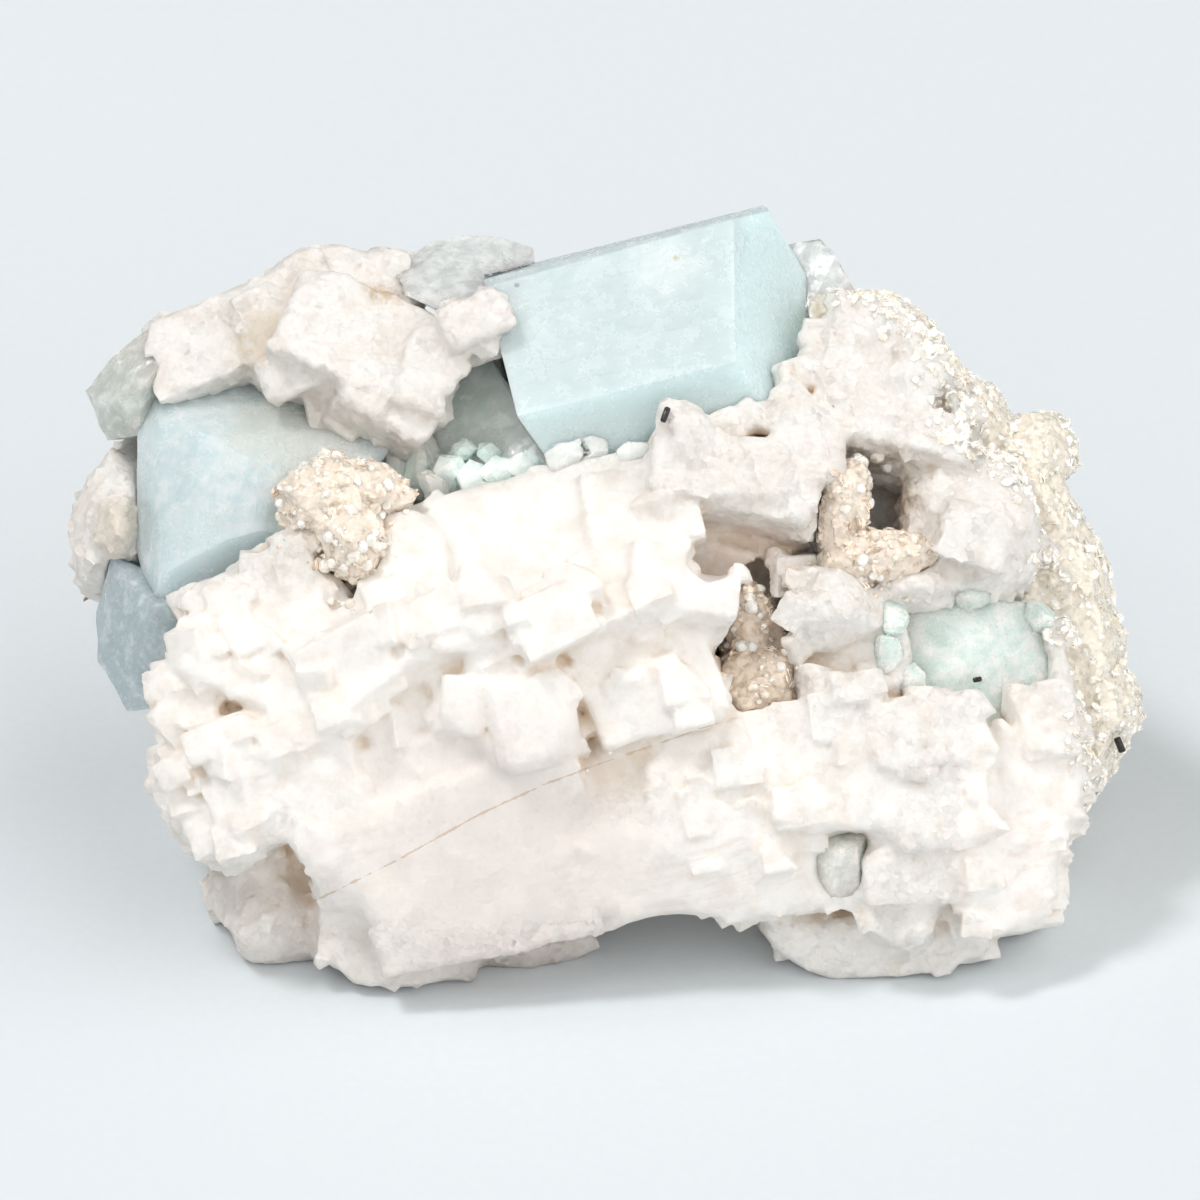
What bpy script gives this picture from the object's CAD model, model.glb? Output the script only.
"""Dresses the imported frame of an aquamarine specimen: crystals, feldspar, mica and studio.

Places are given on the display face, in millimetres: X to the right along it, Y up it and Z
out of it. The face leans back, and on_face() turns such a place into the frame's metres.
"""

import logging
import math
import random
from dataclasses import dataclass, field
from enum import Enum
from typing import Callable, Iterable, Sequence

import bmesh
import bpy
import numpy as np
from mathutils import Euler, Matrix, Vector
from mathutils.bvhtree import BVHTree


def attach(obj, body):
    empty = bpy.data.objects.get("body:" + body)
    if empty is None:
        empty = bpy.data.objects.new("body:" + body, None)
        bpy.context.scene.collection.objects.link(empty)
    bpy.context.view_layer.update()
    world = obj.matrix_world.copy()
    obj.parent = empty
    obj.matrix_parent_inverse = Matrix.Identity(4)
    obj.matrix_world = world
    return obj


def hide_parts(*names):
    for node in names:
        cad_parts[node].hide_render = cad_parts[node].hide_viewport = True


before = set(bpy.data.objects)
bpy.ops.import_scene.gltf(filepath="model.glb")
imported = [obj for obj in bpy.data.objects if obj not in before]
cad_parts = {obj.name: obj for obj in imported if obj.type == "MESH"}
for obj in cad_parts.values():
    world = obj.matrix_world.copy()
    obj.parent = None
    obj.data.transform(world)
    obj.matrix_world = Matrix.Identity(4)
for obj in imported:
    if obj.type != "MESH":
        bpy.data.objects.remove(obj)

MM = 0.001
LEAN = math.radians(30.0)
FACE = Matrix.Rotation(math.pi / 2 - LEAN, 3, "X")
OUT_OF_FACE = FACE @ Vector((0.0, 0.0, 1.0))
FACE_ORIGIN = Vector((-0.5, -3.3, 26.0))
DOUBLES = 1e-6
FLAT = math.radians(0.5)
SHARP = math.radians(15.0)
FAR_OUT = 60.0
DRAWS_FOR_EACH = 60
GOLDEN_ANGLE = 2.39996

Triple = tuple[float, float, float]
log = logging.getLogger("specimen")


def on_face(place: Sequence[float]) -> Vector:
    """A place on the display face, in the frame's metres.

    Args:
        place: X, Y and Z on the display face, in millimetres.

    Returns:
        The same place in the frame, in metres.
    """
    return (FACE @ Vector(place) + FACE_ORIGIN) * MM


def face_turn(turn: Sequence[float]) -> Matrix:
    """The turn of a thing on the display face, as a matrix in the frame.

    Args:
        turn: Angles about the face's X, Y and Z, in degrees.

    Returns:
        The rotation as a 4 by 4 matrix.
    """
    angles = Euler([math.radians(angle) for angle in turn])
    return (FACE @ angles.to_matrix()).to_4x4()


def face_places(points: np.ndarray) -> np.ndarray:
    """Places in the frame, told on the display face.

    Args:
        points: One row of metres for each place.

    Returns:
        One row of millimetres on the display face for each place.
    """
    return (points / MM - np.array(FACE_ORIGIN)) @ np.array(FACE)


# Workbench: the few moves that every piece is made with.


def pick(*objects: bpy.types.Object) -> None:
    """Selects these objects alone, and makes the first one active.

    Args:
        *objects: The objects.
    """
    if bpy.context.object and bpy.context.object.mode != "OBJECT":
        bpy.ops.object.mode_set(mode="OBJECT")
    bpy.ops.object.select_all(action="DESELECT")
    for obj in objects:
        obj.select_set(True)
    bpy.context.view_layer.objects.active = objects[0]


def settle(obj: bpy.types.Object) -> bpy.types.Object:
    """Puts a piece's place, turn and size into its mesh.

    Args:
        obj: The piece.

    Returns:
        The same piece.
    """
    pick(obj)
    bpy.ops.object.transform_apply(location=True, rotation=True, scale=True)
    return obj


def take_node(node: str, name: str) -> bpy.types.Object:
    """A merged copy of a CAD node's mesh, to be worked on.

    Args:
        node: The CAD node.
        name: The new piece's name.

    Returns:
        The new piece, with its flat faces whole again.
    """
    piece = bpy.data.objects.new(name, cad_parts[node].data.copy())
    bpy.context.scene.collection.objects.link(piece)
    piece.data.materials.clear()
    pick(piece)
    bpy.ops.object.mode_set(mode="EDIT")
    bpy.ops.mesh.select_all(action="SELECT")
    bpy.ops.mesh.remove_doubles(threshold=DOUBLES)
    bpy.ops.mesh.dissolve_limited(angle_limit=FLAT)
    bpy.ops.object.mode_set(mode="OBJECT")
    return piece


def apply_modifiers(obj: bpy.types.Object) -> None:
    """Applies every modifier of a piece, in order.

    Args:
        obj: The piece.
    """
    pick(obj)
    for modifier in list(obj.modifiers):
        bpy.ops.object.modifier_apply(modifier=modifier.name)


def remesh(obj: bpy.types.Object, voxel: float) -> None:
    """Makes a piece one closed skin.

    Args:
        obj: The piece, whose bodies may overlap.
        voxel: The size of the skin's faces, in millimetres.
    """
    modifier = obj.modifiers.new("skin", "REMESH")
    modifier.mode = "VOXEL"
    modifier.voxel_size = voxel * MM
    apply_modifiers(obj)


def remesh_crisp(obj: bpy.types.Object, depth: int) -> None:
    """Divides a piece's faces evenly, and keeps its sharp edges.

    Args:
        obj: The piece, whose bodies may overlap.
        depth: How often its longest side is halved.
    """
    modifier = obj.modifiers.new("skin", "REMESH")
    modifier.mode = "SHARP"
    modifier.octree_depth = depth
    modifier.scale = 0.95
    modifier.use_remove_disconnected = False
    apply_modifiers(obj)


def thin_out(obj: bpy.types.Object, most: int) -> None:
    """Merges faces, the flattest first, until a piece has few enough triangles.

    Args:
        obj: The piece.
        most: The greatest number of triangles.
    """
    obj.data.calc_loop_triangles()
    count = len(obj.data.loop_triangles)
    if count > most:
        modifier = obj.modifiers.new("thin_out", "DECIMATE")
        modifier.ratio = most / count
        apply_modifiers(obj)


class Grit(Enum):
    """The patterns that a broken surface follows."""

    STEPS = "CELL_NOISE"
    CHIPS = "VORONOI_F1"
    CRACKLE = "VORONOI_F2_F1"
    SWELLS = "ORIGINAL_PERLIN"


@dataclass(frozen=True)
class Relief:
    """One layer of relief on a broken surface.

    Attributes:
        grit: The pattern.
        grain: The size of its features, in millimetres.
        height: How far it moves the surface, in millimetres.
        turn: How the pattern is turned, in degrees.
        depth: How many finer copies are laid over it.
        where: The vertex group that it is held to, or none.
    """

    grit: Grit
    grain: float
    height: float
    turn: Triple = (0.0, 0.0, 0.0)
    depth: int = 0
    where: str = ""

    def press(self, obj: bpy.types.Object) -> None:
        """Presses the relief into a piece.

        Args:
            obj: The piece.
        """
        texture = bpy.data.textures.new("relief", "CLOUDS")
        texture.noise_basis = self.grit.value
        texture.noise_scale = self.grain * MM
        texture.noise_depth = self.depth
        guide = bpy.data.objects.new("relief_guide", None)
        guide.matrix_world = face_turn(self.turn)
        bpy.context.scene.collection.objects.link(guide)
        bpy.context.view_layer.update()
        modifier = obj.modifiers.new("relief", "DISPLACE")
        modifier.texture = texture
        modifier.texture_coords = "OBJECT"
        modifier.texture_coords_object = guide
        modifier.strength = self.height * MM
        modifier.mid_level = 0.5
        modifier.vertex_group = self.where
        apply_modifiers(obj)
        bpy.data.objects.remove(guide)
        bpy.data.textures.remove(texture)


def swell(obj: bpy.types.Object, by: float) -> None:
    """Moves a piece's faces out.

    Args:
        obj: The piece.
        by: How far, in millimetres. Less than nothing moves them in.
    """
    modifier = obj.modifiers.new("swell", "DISPLACE")
    modifier.strength = by * MM
    modifier.mid_level = 0.0
    apply_modifiers(obj)


def soften_edges(obj: bpy.types.Object, width: float, segments: int) -> None:
    """Bevels a piece's edges.

    Args:
        obj: The piece.
        width: The bevel's width, in millimetres.
        segments: How many faces round the bevel.
    """
    modifier = obj.modifiers.new("edges", "BEVEL")
    modifier.width = width * MM
    modifier.segments = segments
    modifier.limit_method = "ANGLE"
    modifier.angle_limit = SHARP
    apply_modifiers(obj)


def shade(obj: bpy.types.Object, within: float) -> None:
    """Shades a piece smooth, but for edges sharper than this many degrees."""
    pick(obj)
    bpy.ops.object.shade_smooth_by_angle(angle=math.radians(within))


def join(pieces: Sequence[bpy.types.Object], name: str) -> bpy.types.Object:
    """Joins several objects into one.

    Args:
        pieces: The objects, the first of which is kept.
        name: The joined piece's name.

    Returns:
        The joined piece.
    """
    pick(*pieces)
    if len(pieces) > 1:
        bpy.ops.object.join()
    pieces[0].name = pieces[0].data.name = name
    return settle(pieces[0])


def hand_over(obj: bpy.types.Object, *nodes: str) -> bpy.types.Object:
    """Lets a piece ride on the frame, and reports it.

    Args:
        obj: The piece.
        *nodes: The CAD nodes that it takes the place of, if any.

    Returns:
        The piece.
    """
    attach(obj, "root")
    if nodes:
        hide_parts(*nodes)
    obj.data.calc_loop_triangles()
    log.info("%s: %d triangles", obj.name, len(obj.data.loop_triangles))
    return obj


# Scattering: many small copies on a larger piece.


@dataclass(frozen=True)
class Spot:
    """A place on a surface, in metres, and the way the surface faces there."""

    at: Vector
    outward: Vector


def spots_on(host: bpy.types.Object, count: int, seed: str,
             accept: Callable[[np.ndarray, np.ndarray], np.ndarray]) -> list[Spot]:
    """Seeded places all over a surface, or on a part of it.

    Args:
        host: The object whose surface takes them.
        count: How many places.
        seed: The word that the choice grows from.
        accept: Tells from places on the display face and their normals which may be used.

    Returns:
        The places.
    """
    mesh = host.data
    mesh.calc_loop_triangles()
    number = len(mesh.loop_triangles)
    corners = np.empty(number * 3, np.int32)
    mesh.loop_triangles.foreach_get("vertices", corners)
    points = np.empty(len(mesh.vertices) * 3, np.float32)
    mesh.vertices.foreach_get("co", points)
    faces = points.reshape(-1, 3)[corners].reshape(-1, 3, 3).astype(float)
    normals = np.cross(faces[:, 1] - faces[:, 0], faces[:, 2] - faces[:, 0])
    areas = np.linalg.norm(normals, axis=1)
    chooser = np.random.default_rng(list(seed.encode()))
    chosen = chooser.choice(number, size=count * DRAWS_FOR_EACH, p=areas / areas.sum())
    along = chooser.random((len(chosen), 2))
    along = np.where(along.sum(axis=1, keepdims=True) > 1.0, 1.0 - along, along)
    sides = faces[chosen][:, 1:] - faces[chosen][:, :1]
    places = faces[chosen][:, 0] + (sides * along[:, :, None]).sum(axis=1)
    outward = normals[chosen] / areas[chosen][:, None]
    turned = outward @ np.array(FACE)
    kept = np.nonzero(accept(face_places(places), turned))[0][:count]
    return [Spot(Vector(places[i]), Vector(outward[i])) for i in kept]


def node_surfaces(nodes: Iterable[str]) -> BVHTree:
    """The surfaces of these CAD nodes, to measure distances to.

    Args:
        nodes: The nodes' names.

    Returns:
        The tree of their faces, in the frame's metres.
    """
    bm = bmesh.new()
    for node in nodes:
        bm.from_mesh(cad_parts[node].data)
    tree = BVHTree.FromBMesh(bm)
    bm.free()
    return tree


def anywhere(places: np.ndarray, normals: np.ndarray) -> np.ndarray:
    """Accepts every place."""
    return np.ones(len(places), bool)


def sow(patterns: Sequence[bpy.types.Object], matrices: Iterable[Matrix], seed: str,
        name: str) -> bpy.types.Object:
    """Copies small shapes to many places and joins the copies.

    Args:
        patterns: The shapes, one of which is drawn for each place.
        matrices: Where each copy goes.
        seed: The word that the draw grows from.
        name: The joined piece's name.

    Returns:
        The joined piece.
    """
    chooser = random.Random(seed)
    copies = []
    for matrix in matrices:
        mesh = chooser.choice(patterns).data.copy()
        mesh.transform(matrix)
        copy = bpy.data.objects.new(name, mesh)
        bpy.context.scene.collection.objects.link(copy)
        copies.append(copy)
    return join(copies, name)


def facing(outward: Vector, spin: float) -> Matrix:
    """The turn that lays a shape's Z along a direction, spun about it by an angle."""
    lay = outward.to_track_quat("Z", "Y").to_matrix().to_4x4()
    return lay @ Matrix.Rotation(spin, 4, "Z")


def discard(objects: Iterable[bpy.types.Object]) -> None:
    """Removes pattern objects that have been copied."""
    for obj in list(objects):
        bpy.data.objects.remove(obj)


# Shader parts.


class Graph:
    """A node tree with short ways to add and join nodes."""

    def __init__(self, tree: bpy.types.NodeTree) -> None:
        """Keeps the tree."""
        self.tree = tree

    def add(self, kind: str, **values: object) -> bpy.types.Node:
        """Adds a node.

        Args:
            kind: The node's type.
            **values: Its settings, and its inputs by socket name with _ for each space.

        Returns:
            The node.
        """
        node = self.tree.nodes.new(kind)
        for key, value in values.items():
            if hasattr(node, key):
                setattr(node, key, value)
            else:
                self.feed(node, key.replace("_", " "), value)
        return node

    def feed(self, node: bpy.types.Node, socket: str | int, value: object) -> None:
        """Links an output to a socket, or sets the socket's own value.

        Args:
            node: The node that is fed.
            socket: Its socket's name or number.
            value: An output to link, or a plain value.
        """
        target = node.inputs[socket]
        if isinstance(value, bpy.types.NodeSocket):
            self.tree.links.new(value, target)
        else:
            target.default_value = value

    def place(self) -> bpy.types.NodeSocket:
        """The piece's own coordinates."""
        return self.add("ShaderNodeTexCoord").outputs["Object"]

    def turned_place(self, turn: Triple, scale: Triple) -> bpy.types.NodeSocket:
        """The piece's own coordinates, turned about the frame's axes and stretched.

        Args:
            turn: Angles about the frame's axes, in radians.
            scale: How far features are stretched along each turned axis.

        Returns:
            The coordinates.
        """
        node = self.add("ShaderNodeMapping", vector_type="TEXTURE")
        self.feed(node, "Vector", self.place())
        self.feed(node, "Rotation", turn)
        self.feed(node, "Scale", scale)
        return node.outputs["Vector"]

    def noise(self, grain: float, detail: float = 3.0, rough: float = 0.55,
              place: bpy.types.NodeSocket | None = None, bend: float = 0.0) -> bpy.types.NodeSocket:
        """Adds a noise.

        Args:
            grain: How wide its features are, in millimetres.
            detail: How many finer copies are laid over it.
            rough: How strong the finer copies are.
            place: The coordinates that it follows.
            bend: How far it is distorted.

        Returns:
            Its value.
        """
        node = self.add("ShaderNodeTexNoise", Detail=detail, Roughness=rough, Distortion=bend)
        self.feed(node, "Scale", 1.0 / (grain * MM))
        self.feed(node, "Vector", place or self.place())
        return node.outputs["Fac"]

    def spread(self, value: bpy.types.NodeSocket, low: float, high: float,
               to_low: float = 0.0, to_high: float = 1.0,
               straight: bool = False) -> bpy.types.NodeSocket:
        """Maps a value from one range to another, clamped, and eased unless it is straight.

        Args:
            value: The value.
            low: Where the mapping starts.
            high: Where it ends.
            to_low: What the start becomes.
            to_high: What the end becomes.
            straight: Whether it runs straight between the two.

        Returns:
            The mapped value.
        """
        node = self.add("ShaderNodeMapRange",
                        interpolation_type="LINEAR" if straight else "SMOOTHSTEP")
        for socket, number in (("From Min", low), ("From Max", high),
                               ("To Min", to_low), ("To Max", to_high)):
            self.feed(node, socket, number)
        self.feed(node, "Value", value)
        return node.outputs["Result"]

    def sum(self, first: object, second: object, how: str = "ADD") -> bpy.types.NodeSocket:
        """Combines two values by a maths operation.

        Args:
            first: A value or an output.
            second: Another.
            how: The operation.

        Returns:
            The result.
        """
        node = self.add("ShaderNodeMath", operation=how)
        self.feed(node, 0, first)
        self.feed(node, 1, second)
        return node.outputs[0]

    def blend(self, share: object, low: object, high: object) -> bpy.types.NodeSocket:
        """Mixes two colours.

        Args:
            share: How much of the second colour there is, 0 to 1.
            low: The first colour or its output.
            high: The second.

        Returns:
            The mixed colour.
        """
        node = self.add("ShaderNodeMix", data_type="RGBA")
        self.feed(node, 0, share)
        self.feed(node, 6, low)
        self.feed(node, 7, high)
        return node.outputs[2]

    def bump(self, height: object, strength: object, distance: float,
             normal: bpy.types.NodeSocket | None = None) -> bpy.types.NodeSocket:
        """Turns a height into a normal.

        Args:
            height: The height, 0 to 1.
            strength: How much of it is shown, 0 to 1.
            distance: How high 1 stands, in millimetres.
            normal: The normal that it is laid over.

        Returns:
            The new normal.
        """
        node = self.add("ShaderNodeBump", Distance=distance * MM)
        self.feed(node, "Strength", strength)
        self.feed(node, "Height", height)
        if normal:
            self.feed(node, "Normal", normal)
        return node.outputs["Normal"]

    def facets(self, grain: float, tilt: float, place: bpy.types.NodeSocket | None = None,
               normal: bpy.types.NodeSocket | None = None,
               strength: object = 1.0) -> bpy.types.NodeSocket:
        """Breaks a surface into flat facets, each with its own lean.

        Args:
            grain: The facets' size, in millimetres.
            tilt: Their steepest slope.
            place: The coordinates that they follow.
            normal: The normal that they are laid over.
            strength: How much of it is shown, 0 to 1.

        Returns:
            The new normal.
        """
        place = place or self.place()
        cell = self.add("ShaderNodeTexVoronoi")
        self.feed(cell, "Scale", 1.0 / (grain * MM))
        self.feed(cell, "Vector", place)
        away = self.add("ShaderNodeVectorMath", operation="SUBTRACT")
        self.feed(away, 0, place)
        self.feed(away, 1, cell.outputs["Position"])
        lean = self.add("ShaderNodeVectorMath", operation="SUBTRACT")
        self.feed(lean, 0, cell.outputs["Color"])
        self.feed(lean, 1, (0.5, 0.5, 0.5))
        height = self.add("ShaderNodeVectorMath", operation="DOT_PRODUCT")
        self.feed(height, 0, away.outputs["Vector"])
        self.feed(height, 1, lean.outputs["Vector"])
        return self.bump(self.sum(height.outputs["Value"], 2.0 * tilt, "MULTIPLY"), strength,
                         1000.0, normal)


def rgba(colour: Triple) -> tuple[float, float, float, float]:
    """A colour from the eye's 0 to 255 to a shader's linear values."""
    linear = [((c / 255.0 + 0.055) / 1.055) ** 2.4 if c > 10 else c / 3295.0 for c in colour]
    return (*linear, 1.0)


def new_material(name: str) -> tuple[bpy.types.Material, Graph, bpy.types.Node]:
    """Starts a material.

    Args:
        name: The material's name.

    Returns:
        The material, its graph and its shader.
    """
    material = bpy.data.materials.new(name)
    material.use_nodes = True
    graph = Graph(material.node_tree)
    shader = material.node_tree.nodes["Principled BSDF"]
    shader.subsurface_method = "BURLEY"
    return material, graph, shader


def stain_group() -> bpy.types.NodeTree:
    """The shared effect of stains: a mask round a place, broken up by noise.

    Returns:
        A node group that takes a place, a reach and a grain, and gives a mask.
    """
    name = "stain"
    if name in bpy.data.node_groups:
        return bpy.data.node_groups[name]
    group = bpy.data.node_groups.new(name, "ShaderNodeTree")
    sockets = (("Centre", "NodeSocketVector"), ("Reach", "NodeSocketFloat"),
               ("Grain", "NodeSocketFloat"))
    for title, kind in sockets:
        group.interface.new_socket(name=title, in_out="INPUT", socket_type=kind)
    group.interface.new_socket(name="Mask", in_out="OUTPUT", socket_type="NodeSocketFloat")
    graph = Graph(group)
    given = graph.add("NodeGroupInput")
    away = graph.add("ShaderNodeVectorMath", operation="DISTANCE")
    graph.feed(away, 0, graph.place())
    graph.feed(away, 1, given.outputs["Centre"])
    share = graph.sum(away.outputs["Value"], given.outputs["Reach"], "DIVIDE")
    noise = graph.add("ShaderNodeTexNoise", Detail=4.0, Roughness=0.7)
    graph.feed(noise, "Vector", graph.place())
    graph.feed(noise, "Scale", graph.sum(1.0, given.outputs["Grain"], "DIVIDE"))
    broken = graph.sum(share, graph.sum(noise.outputs["Fac"], 1.4, "MULTIPLY"))
    mask = graph.spread(broken, 1.15, 1.75, 1.0, 0.0)
    given_back = graph.add("NodeGroupOutput")
    graph.feed(given_back, "Mask", mask)
    return group


@dataclass(frozen=True)
class Stain:
    """A tinted patch: its middle on the display face, reach, grain, colour and strength."""

    at: Triple
    reach: float
    colour: Triple
    strength: float = 0.8
    grain: float = 1.6

    def lay(self, graph: Graph, under: object) -> bpy.types.NodeSocket:
        """Lays the patch over a colour.

        Args:
            graph: The material's graph.
            under: The colour or its socket.

        Returns:
            The tinted colour.
        """
        node = graph.add("ShaderNodeGroup", node_tree=stain_group())
        graph.feed(node, "Centre", on_face(self.at))
        graph.feed(node, "Reach", self.reach * MM)
        graph.feed(node, "Grain", self.grain * MM)
        share = graph.sum(node.outputs["Mask"], self.strength, "MULTIPLY")
        return graph.blend(share, under, rgba(self.colour))


def seam_group() -> bpy.types.NodeTree:
    """The shared effect of hairlines: a mask along one straight run.

    Returns:
        A node group that takes both ends and a width, and gives a mask.
    """
    if "seam" in bpy.data.node_groups:
        return bpy.data.node_groups["seam"]
    group = bpy.data.node_groups.new("seam", "ShaderNodeTree")
    for socket, kind in (("Start", "NodeSocketVector"), ("End", "NodeSocketVector"),
                         ("Width", "NodeSocketFloat")):
        group.interface.new_socket(name=socket, in_out="INPUT", socket_type=kind)
    group.interface.new_socket(name="Mask", in_out="OUTPUT", socket_type="NodeSocketFloat")
    graph = Graph(group)
    ends = graph.add("NodeGroupInput")
    out = graph.add("NodeGroupOutput")

    def vector(operation: str, first: object, second: object = None,
               scale: object = None) -> bpy.types.Node:
        """Adds a vector operation, fed with those of its inputs that are given.

        Args:
            operation: The operation, as the node names it.
            first: Its first input.
            second: Its second input.
            scale: The factor of a scaling.

        Returns:
            The node.
        """
        node = graph.add("ShaderNodeVectorMath", operation=operation)
        graph.feed(node, 0, first)
        if second is not None:
            graph.feed(node, 1, second)
        if scale is not None:
            graph.feed(node, "Scale", scale)
        return node

    run = vector("SUBTRACT", ends.outputs["End"], ends.outputs["Start"]).outputs["Vector"]
    from_start = vector("SUBTRACT", graph.place(), ends.outputs["Start"]).outputs["Vector"]
    rise = vector("DOT_PRODUCT", from_start, OUT_OF_FACE).outputs["Value"]
    lift = vector("SCALE", OUT_OF_FACE, scale=rise).outputs["Vector"]
    flat = vector("SUBTRACT", from_start, lift).outputs["Vector"]
    along = graph.sum(vector("DOT_PRODUCT", flat, run).outputs["Value"],
                      vector("DOT_PRODUCT", run, run).outputs["Value"], "DIVIDE")
    held = graph.spread(along, 0.0, 1.0, straight=True)
    nearest = vector("SCALE", run, scale=held).outputs["Vector"]
    off = vector("LENGTH", vector("SUBTRACT", flat, nearest).outputs["Vector"]).outputs["Value"]
    wander = graph.sum(graph.sum(graph.noise(1.2, 4.0, 0.7), -0.5), 0.6 * MM, "MULTIPLY")
    share = graph.sum(graph.sum(graph.sum(off, wander), 0.0, "MAXIMUM"),
                      ends.outputs["Width"], "DIVIDE")
    graph.feed(out, "Mask", graph.spread(share, 0.5, 1.0, 1.0, 0.0))
    return group


@dataclass(frozen=True)
class Seam:
    """A hairline that runs through points told on the display face."""

    points: tuple[Triple, ...]
    colour: Triple
    width: float = 0.12
    strength: float = 0.8

    def lay(self, graph: Graph, under: object) -> bpy.types.NodeSocket:
        """Lays the hairline over a colour.

        Args:
            graph: The material's graph.
            under: The colour or its socket.

        Returns:
            The tinted colour.
        """
        for start, end in zip(self.points, self.points[1:]):
            node = graph.add("ShaderNodeGroup", node_tree=seam_group())
            graph.feed(node, "Start", on_face(start))
            graph.feed(node, "End", on_face(end))
            graph.feed(node, "Width", self.width * MM)
            share = graph.sum(node.outputs["Mask"], self.strength, "MULTIPLY")
            under = graph.blend(share, under, rgba(self.colour))
        return under


@dataclass(frozen=True)
class Side:
    """A tint for all that lies to one side of a plane, told on the display face.

    Attributes:
        at: A point of the plane.
        way: The way that the tint lies.
        soft: How wide its soft edge is, in millimetres.
        colour: The tint.
        strength: How strong it is.
    """

    at: Triple
    way: Triple
    soft: float
    colour: Triple
    strength: float

    def lay(self, graph: Graph, under: object) -> bpy.types.NodeSocket:
        """Lays the tint over a colour.

        Args:
            graph: The material's graph.
            under: The colour or its socket.

        Returns:
            The tinted colour.
        """
        away = graph.add("ShaderNodeVectorMath", operation="SUBTRACT")
        graph.feed(away, 0, graph.place())
        graph.feed(away, 1, on_face(self.at))
        height = graph.add("ShaderNodeVectorMath", operation="DOT_PRODUCT")
        graph.feed(height, 0, away.outputs["Vector"])
        graph.feed(height, 1, FACE @ Vector(self.way).normalized())
        ragged = graph.sum(graph.noise(0.8, 3.0, 0.6), -0.5)
        uneven = graph.sum(height.outputs["Value"], graph.sum(ragged, self.soft * MM, "MULTIPLY"))
        share = graph.spread(uneven, -0.5 * self.soft * MM, 0.5 * self.soft * MM, 0.0, self.strength)
        return graph.blend(share, under, rgba(self.colour))


# Finishes: what each mineral's surface looks like.


@dataclass(frozen=True)
class AlbiteFinish:
    """White feldspar with a sugary break, tinted warm where it is sheltered.

    Attributes:
        bright: The colour of an open face.
        warm: The colour that open faces drift to.
        brushed: The colour of the streaks on a smooth sweep.
        creased: The colour of the fine creases.
        sheltered: The colour of a hollow.
        deep: The colour at the bottom of a hollow.
        tints: Tinted patches and hairlines, in the order that they are laid.
        refraction: How strongly it bends light.
        glow: How much of the light spreads under the skin.
        glow_reach: How far it spreads, in millimetres.
        facet_grain: The size of the large and the small facets of a break, in millimetres.
        sugar_grain: The size of the finest grit, in millimetres.
    """

    bright: Triple = (247, 243, 238)
    warm: Triple = (238, 231, 223)
    brushed: Triple = (230, 220, 212)
    creased: Triple = (230, 216, 200)
    sheltered: Triple = (226, 209, 189)
    deep: Triple = (176, 146, 114)
    tints: tuple[Stain | Seam, ...] = ()
    refraction: float = 1.53
    glow: float = 0.22
    glow_reach: float = 1.1
    facet_grain: tuple[float, float] = (1.5, 0.55)
    sugar_grain: float = 0.42

    def material(self) -> bpy.types.Material:
        """Builds the material.

        Returns:
            The material.
        """
        made, graph, shader = new_material("albite")
        open_sky = graph.add("ShaderNodeAttribute", attribute_name="shelter").outputs["Fac"]
        crease = graph.add("ShaderNodeAttribute", attribute_name="crease").outputs["Fac"]
        broken = graph.add("ShaderNodeAttribute", attribute_name="roughness").outputs["Fac"]
        drift = graph.spread(graph.noise(3.0, 6.0, 0.65), 0.42, 0.66)
        colour = graph.blend(drift, rgba(self.bright), rgba(self.warm))
        turn = tuple(face_turn((10.0, 0.0, 15.0)).to_euler())
        streaks = graph.turned_place(turn, (7.0, 1.0, 1.0))
        brushed = graph.spread(graph.noise(1.0, 6.0, 0.7, streaks), 0.44, 0.66)
        brushed = graph.sum(brushed, graph.spread(broken, 0.0, 0.12, 0.7, 0.0), "MULTIPLY")
        colour = graph.blend(brushed, colour, rgba(self.brushed))
        for tint in self.tints:
            colour = tint.lay(graph, colour)
        fine = graph.sum(crease, graph.sum(graph.noise(0.6, 4.0, 0.7), 0.3, "MULTIPLY"))
        colour = graph.blend(graph.spread(fine, 0.62, 1.02, 0.8, 0.0), colour, rgba(self.creased))
        ragged = graph.sum(open_sky, graph.sum(graph.noise(1.3, 4.0, 0.7), 0.26, "MULTIPLY"))
        colour = graph.blend(graph.spread(ragged, 0.36, 0.66, 1.0, 0.0), colour, rgba(self.sheltered))
        colour = graph.blend(graph.spread(ragged, 0.14, 0.36, 1.0, 0.0), colour, rgba(self.deep))
        graph.feed(shader, "Base Color", colour)
        rough = graph.spread(graph.noise(0.6, 3.0, 0.6), 0.35, 0.65, 0.42, 0.62)
        graph.feed(shader, "Roughness", rough)
        shader.inputs["IOR"].default_value = self.refraction
        shader.inputs["Subsurface Weight"].default_value = self.glow
        shader.inputs["Subsurface Radius"].default_value = (1.0, 0.72, 0.52)
        shader.inputs["Subsurface Scale"].default_value = self.glow_reach * MM
        large, small = self.facet_grain
        facets = graph.facets(large, 0.22, strength=graph.spread(broken, 0.1, 0.9, 0.4, 1.0))
        facets = graph.facets(small, 0.30, normal=facets,
                              strength=graph.spread(broken, 0.1, 0.9, 0.3, 1.0))
        brush = graph.bump(graph.noise(0.7, 5.0, 0.7, streaks), 0.16, 0.04, facets)
        sugar = graph.bump(graph.noise(self.sugar_grain, 6.0, 0.78),
                           graph.spread(broken, 0.1, 0.9, 0.45, 0.9), 0.15, brush)
        graph.feed(shader, "Normal", sugar)
        return made


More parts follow.
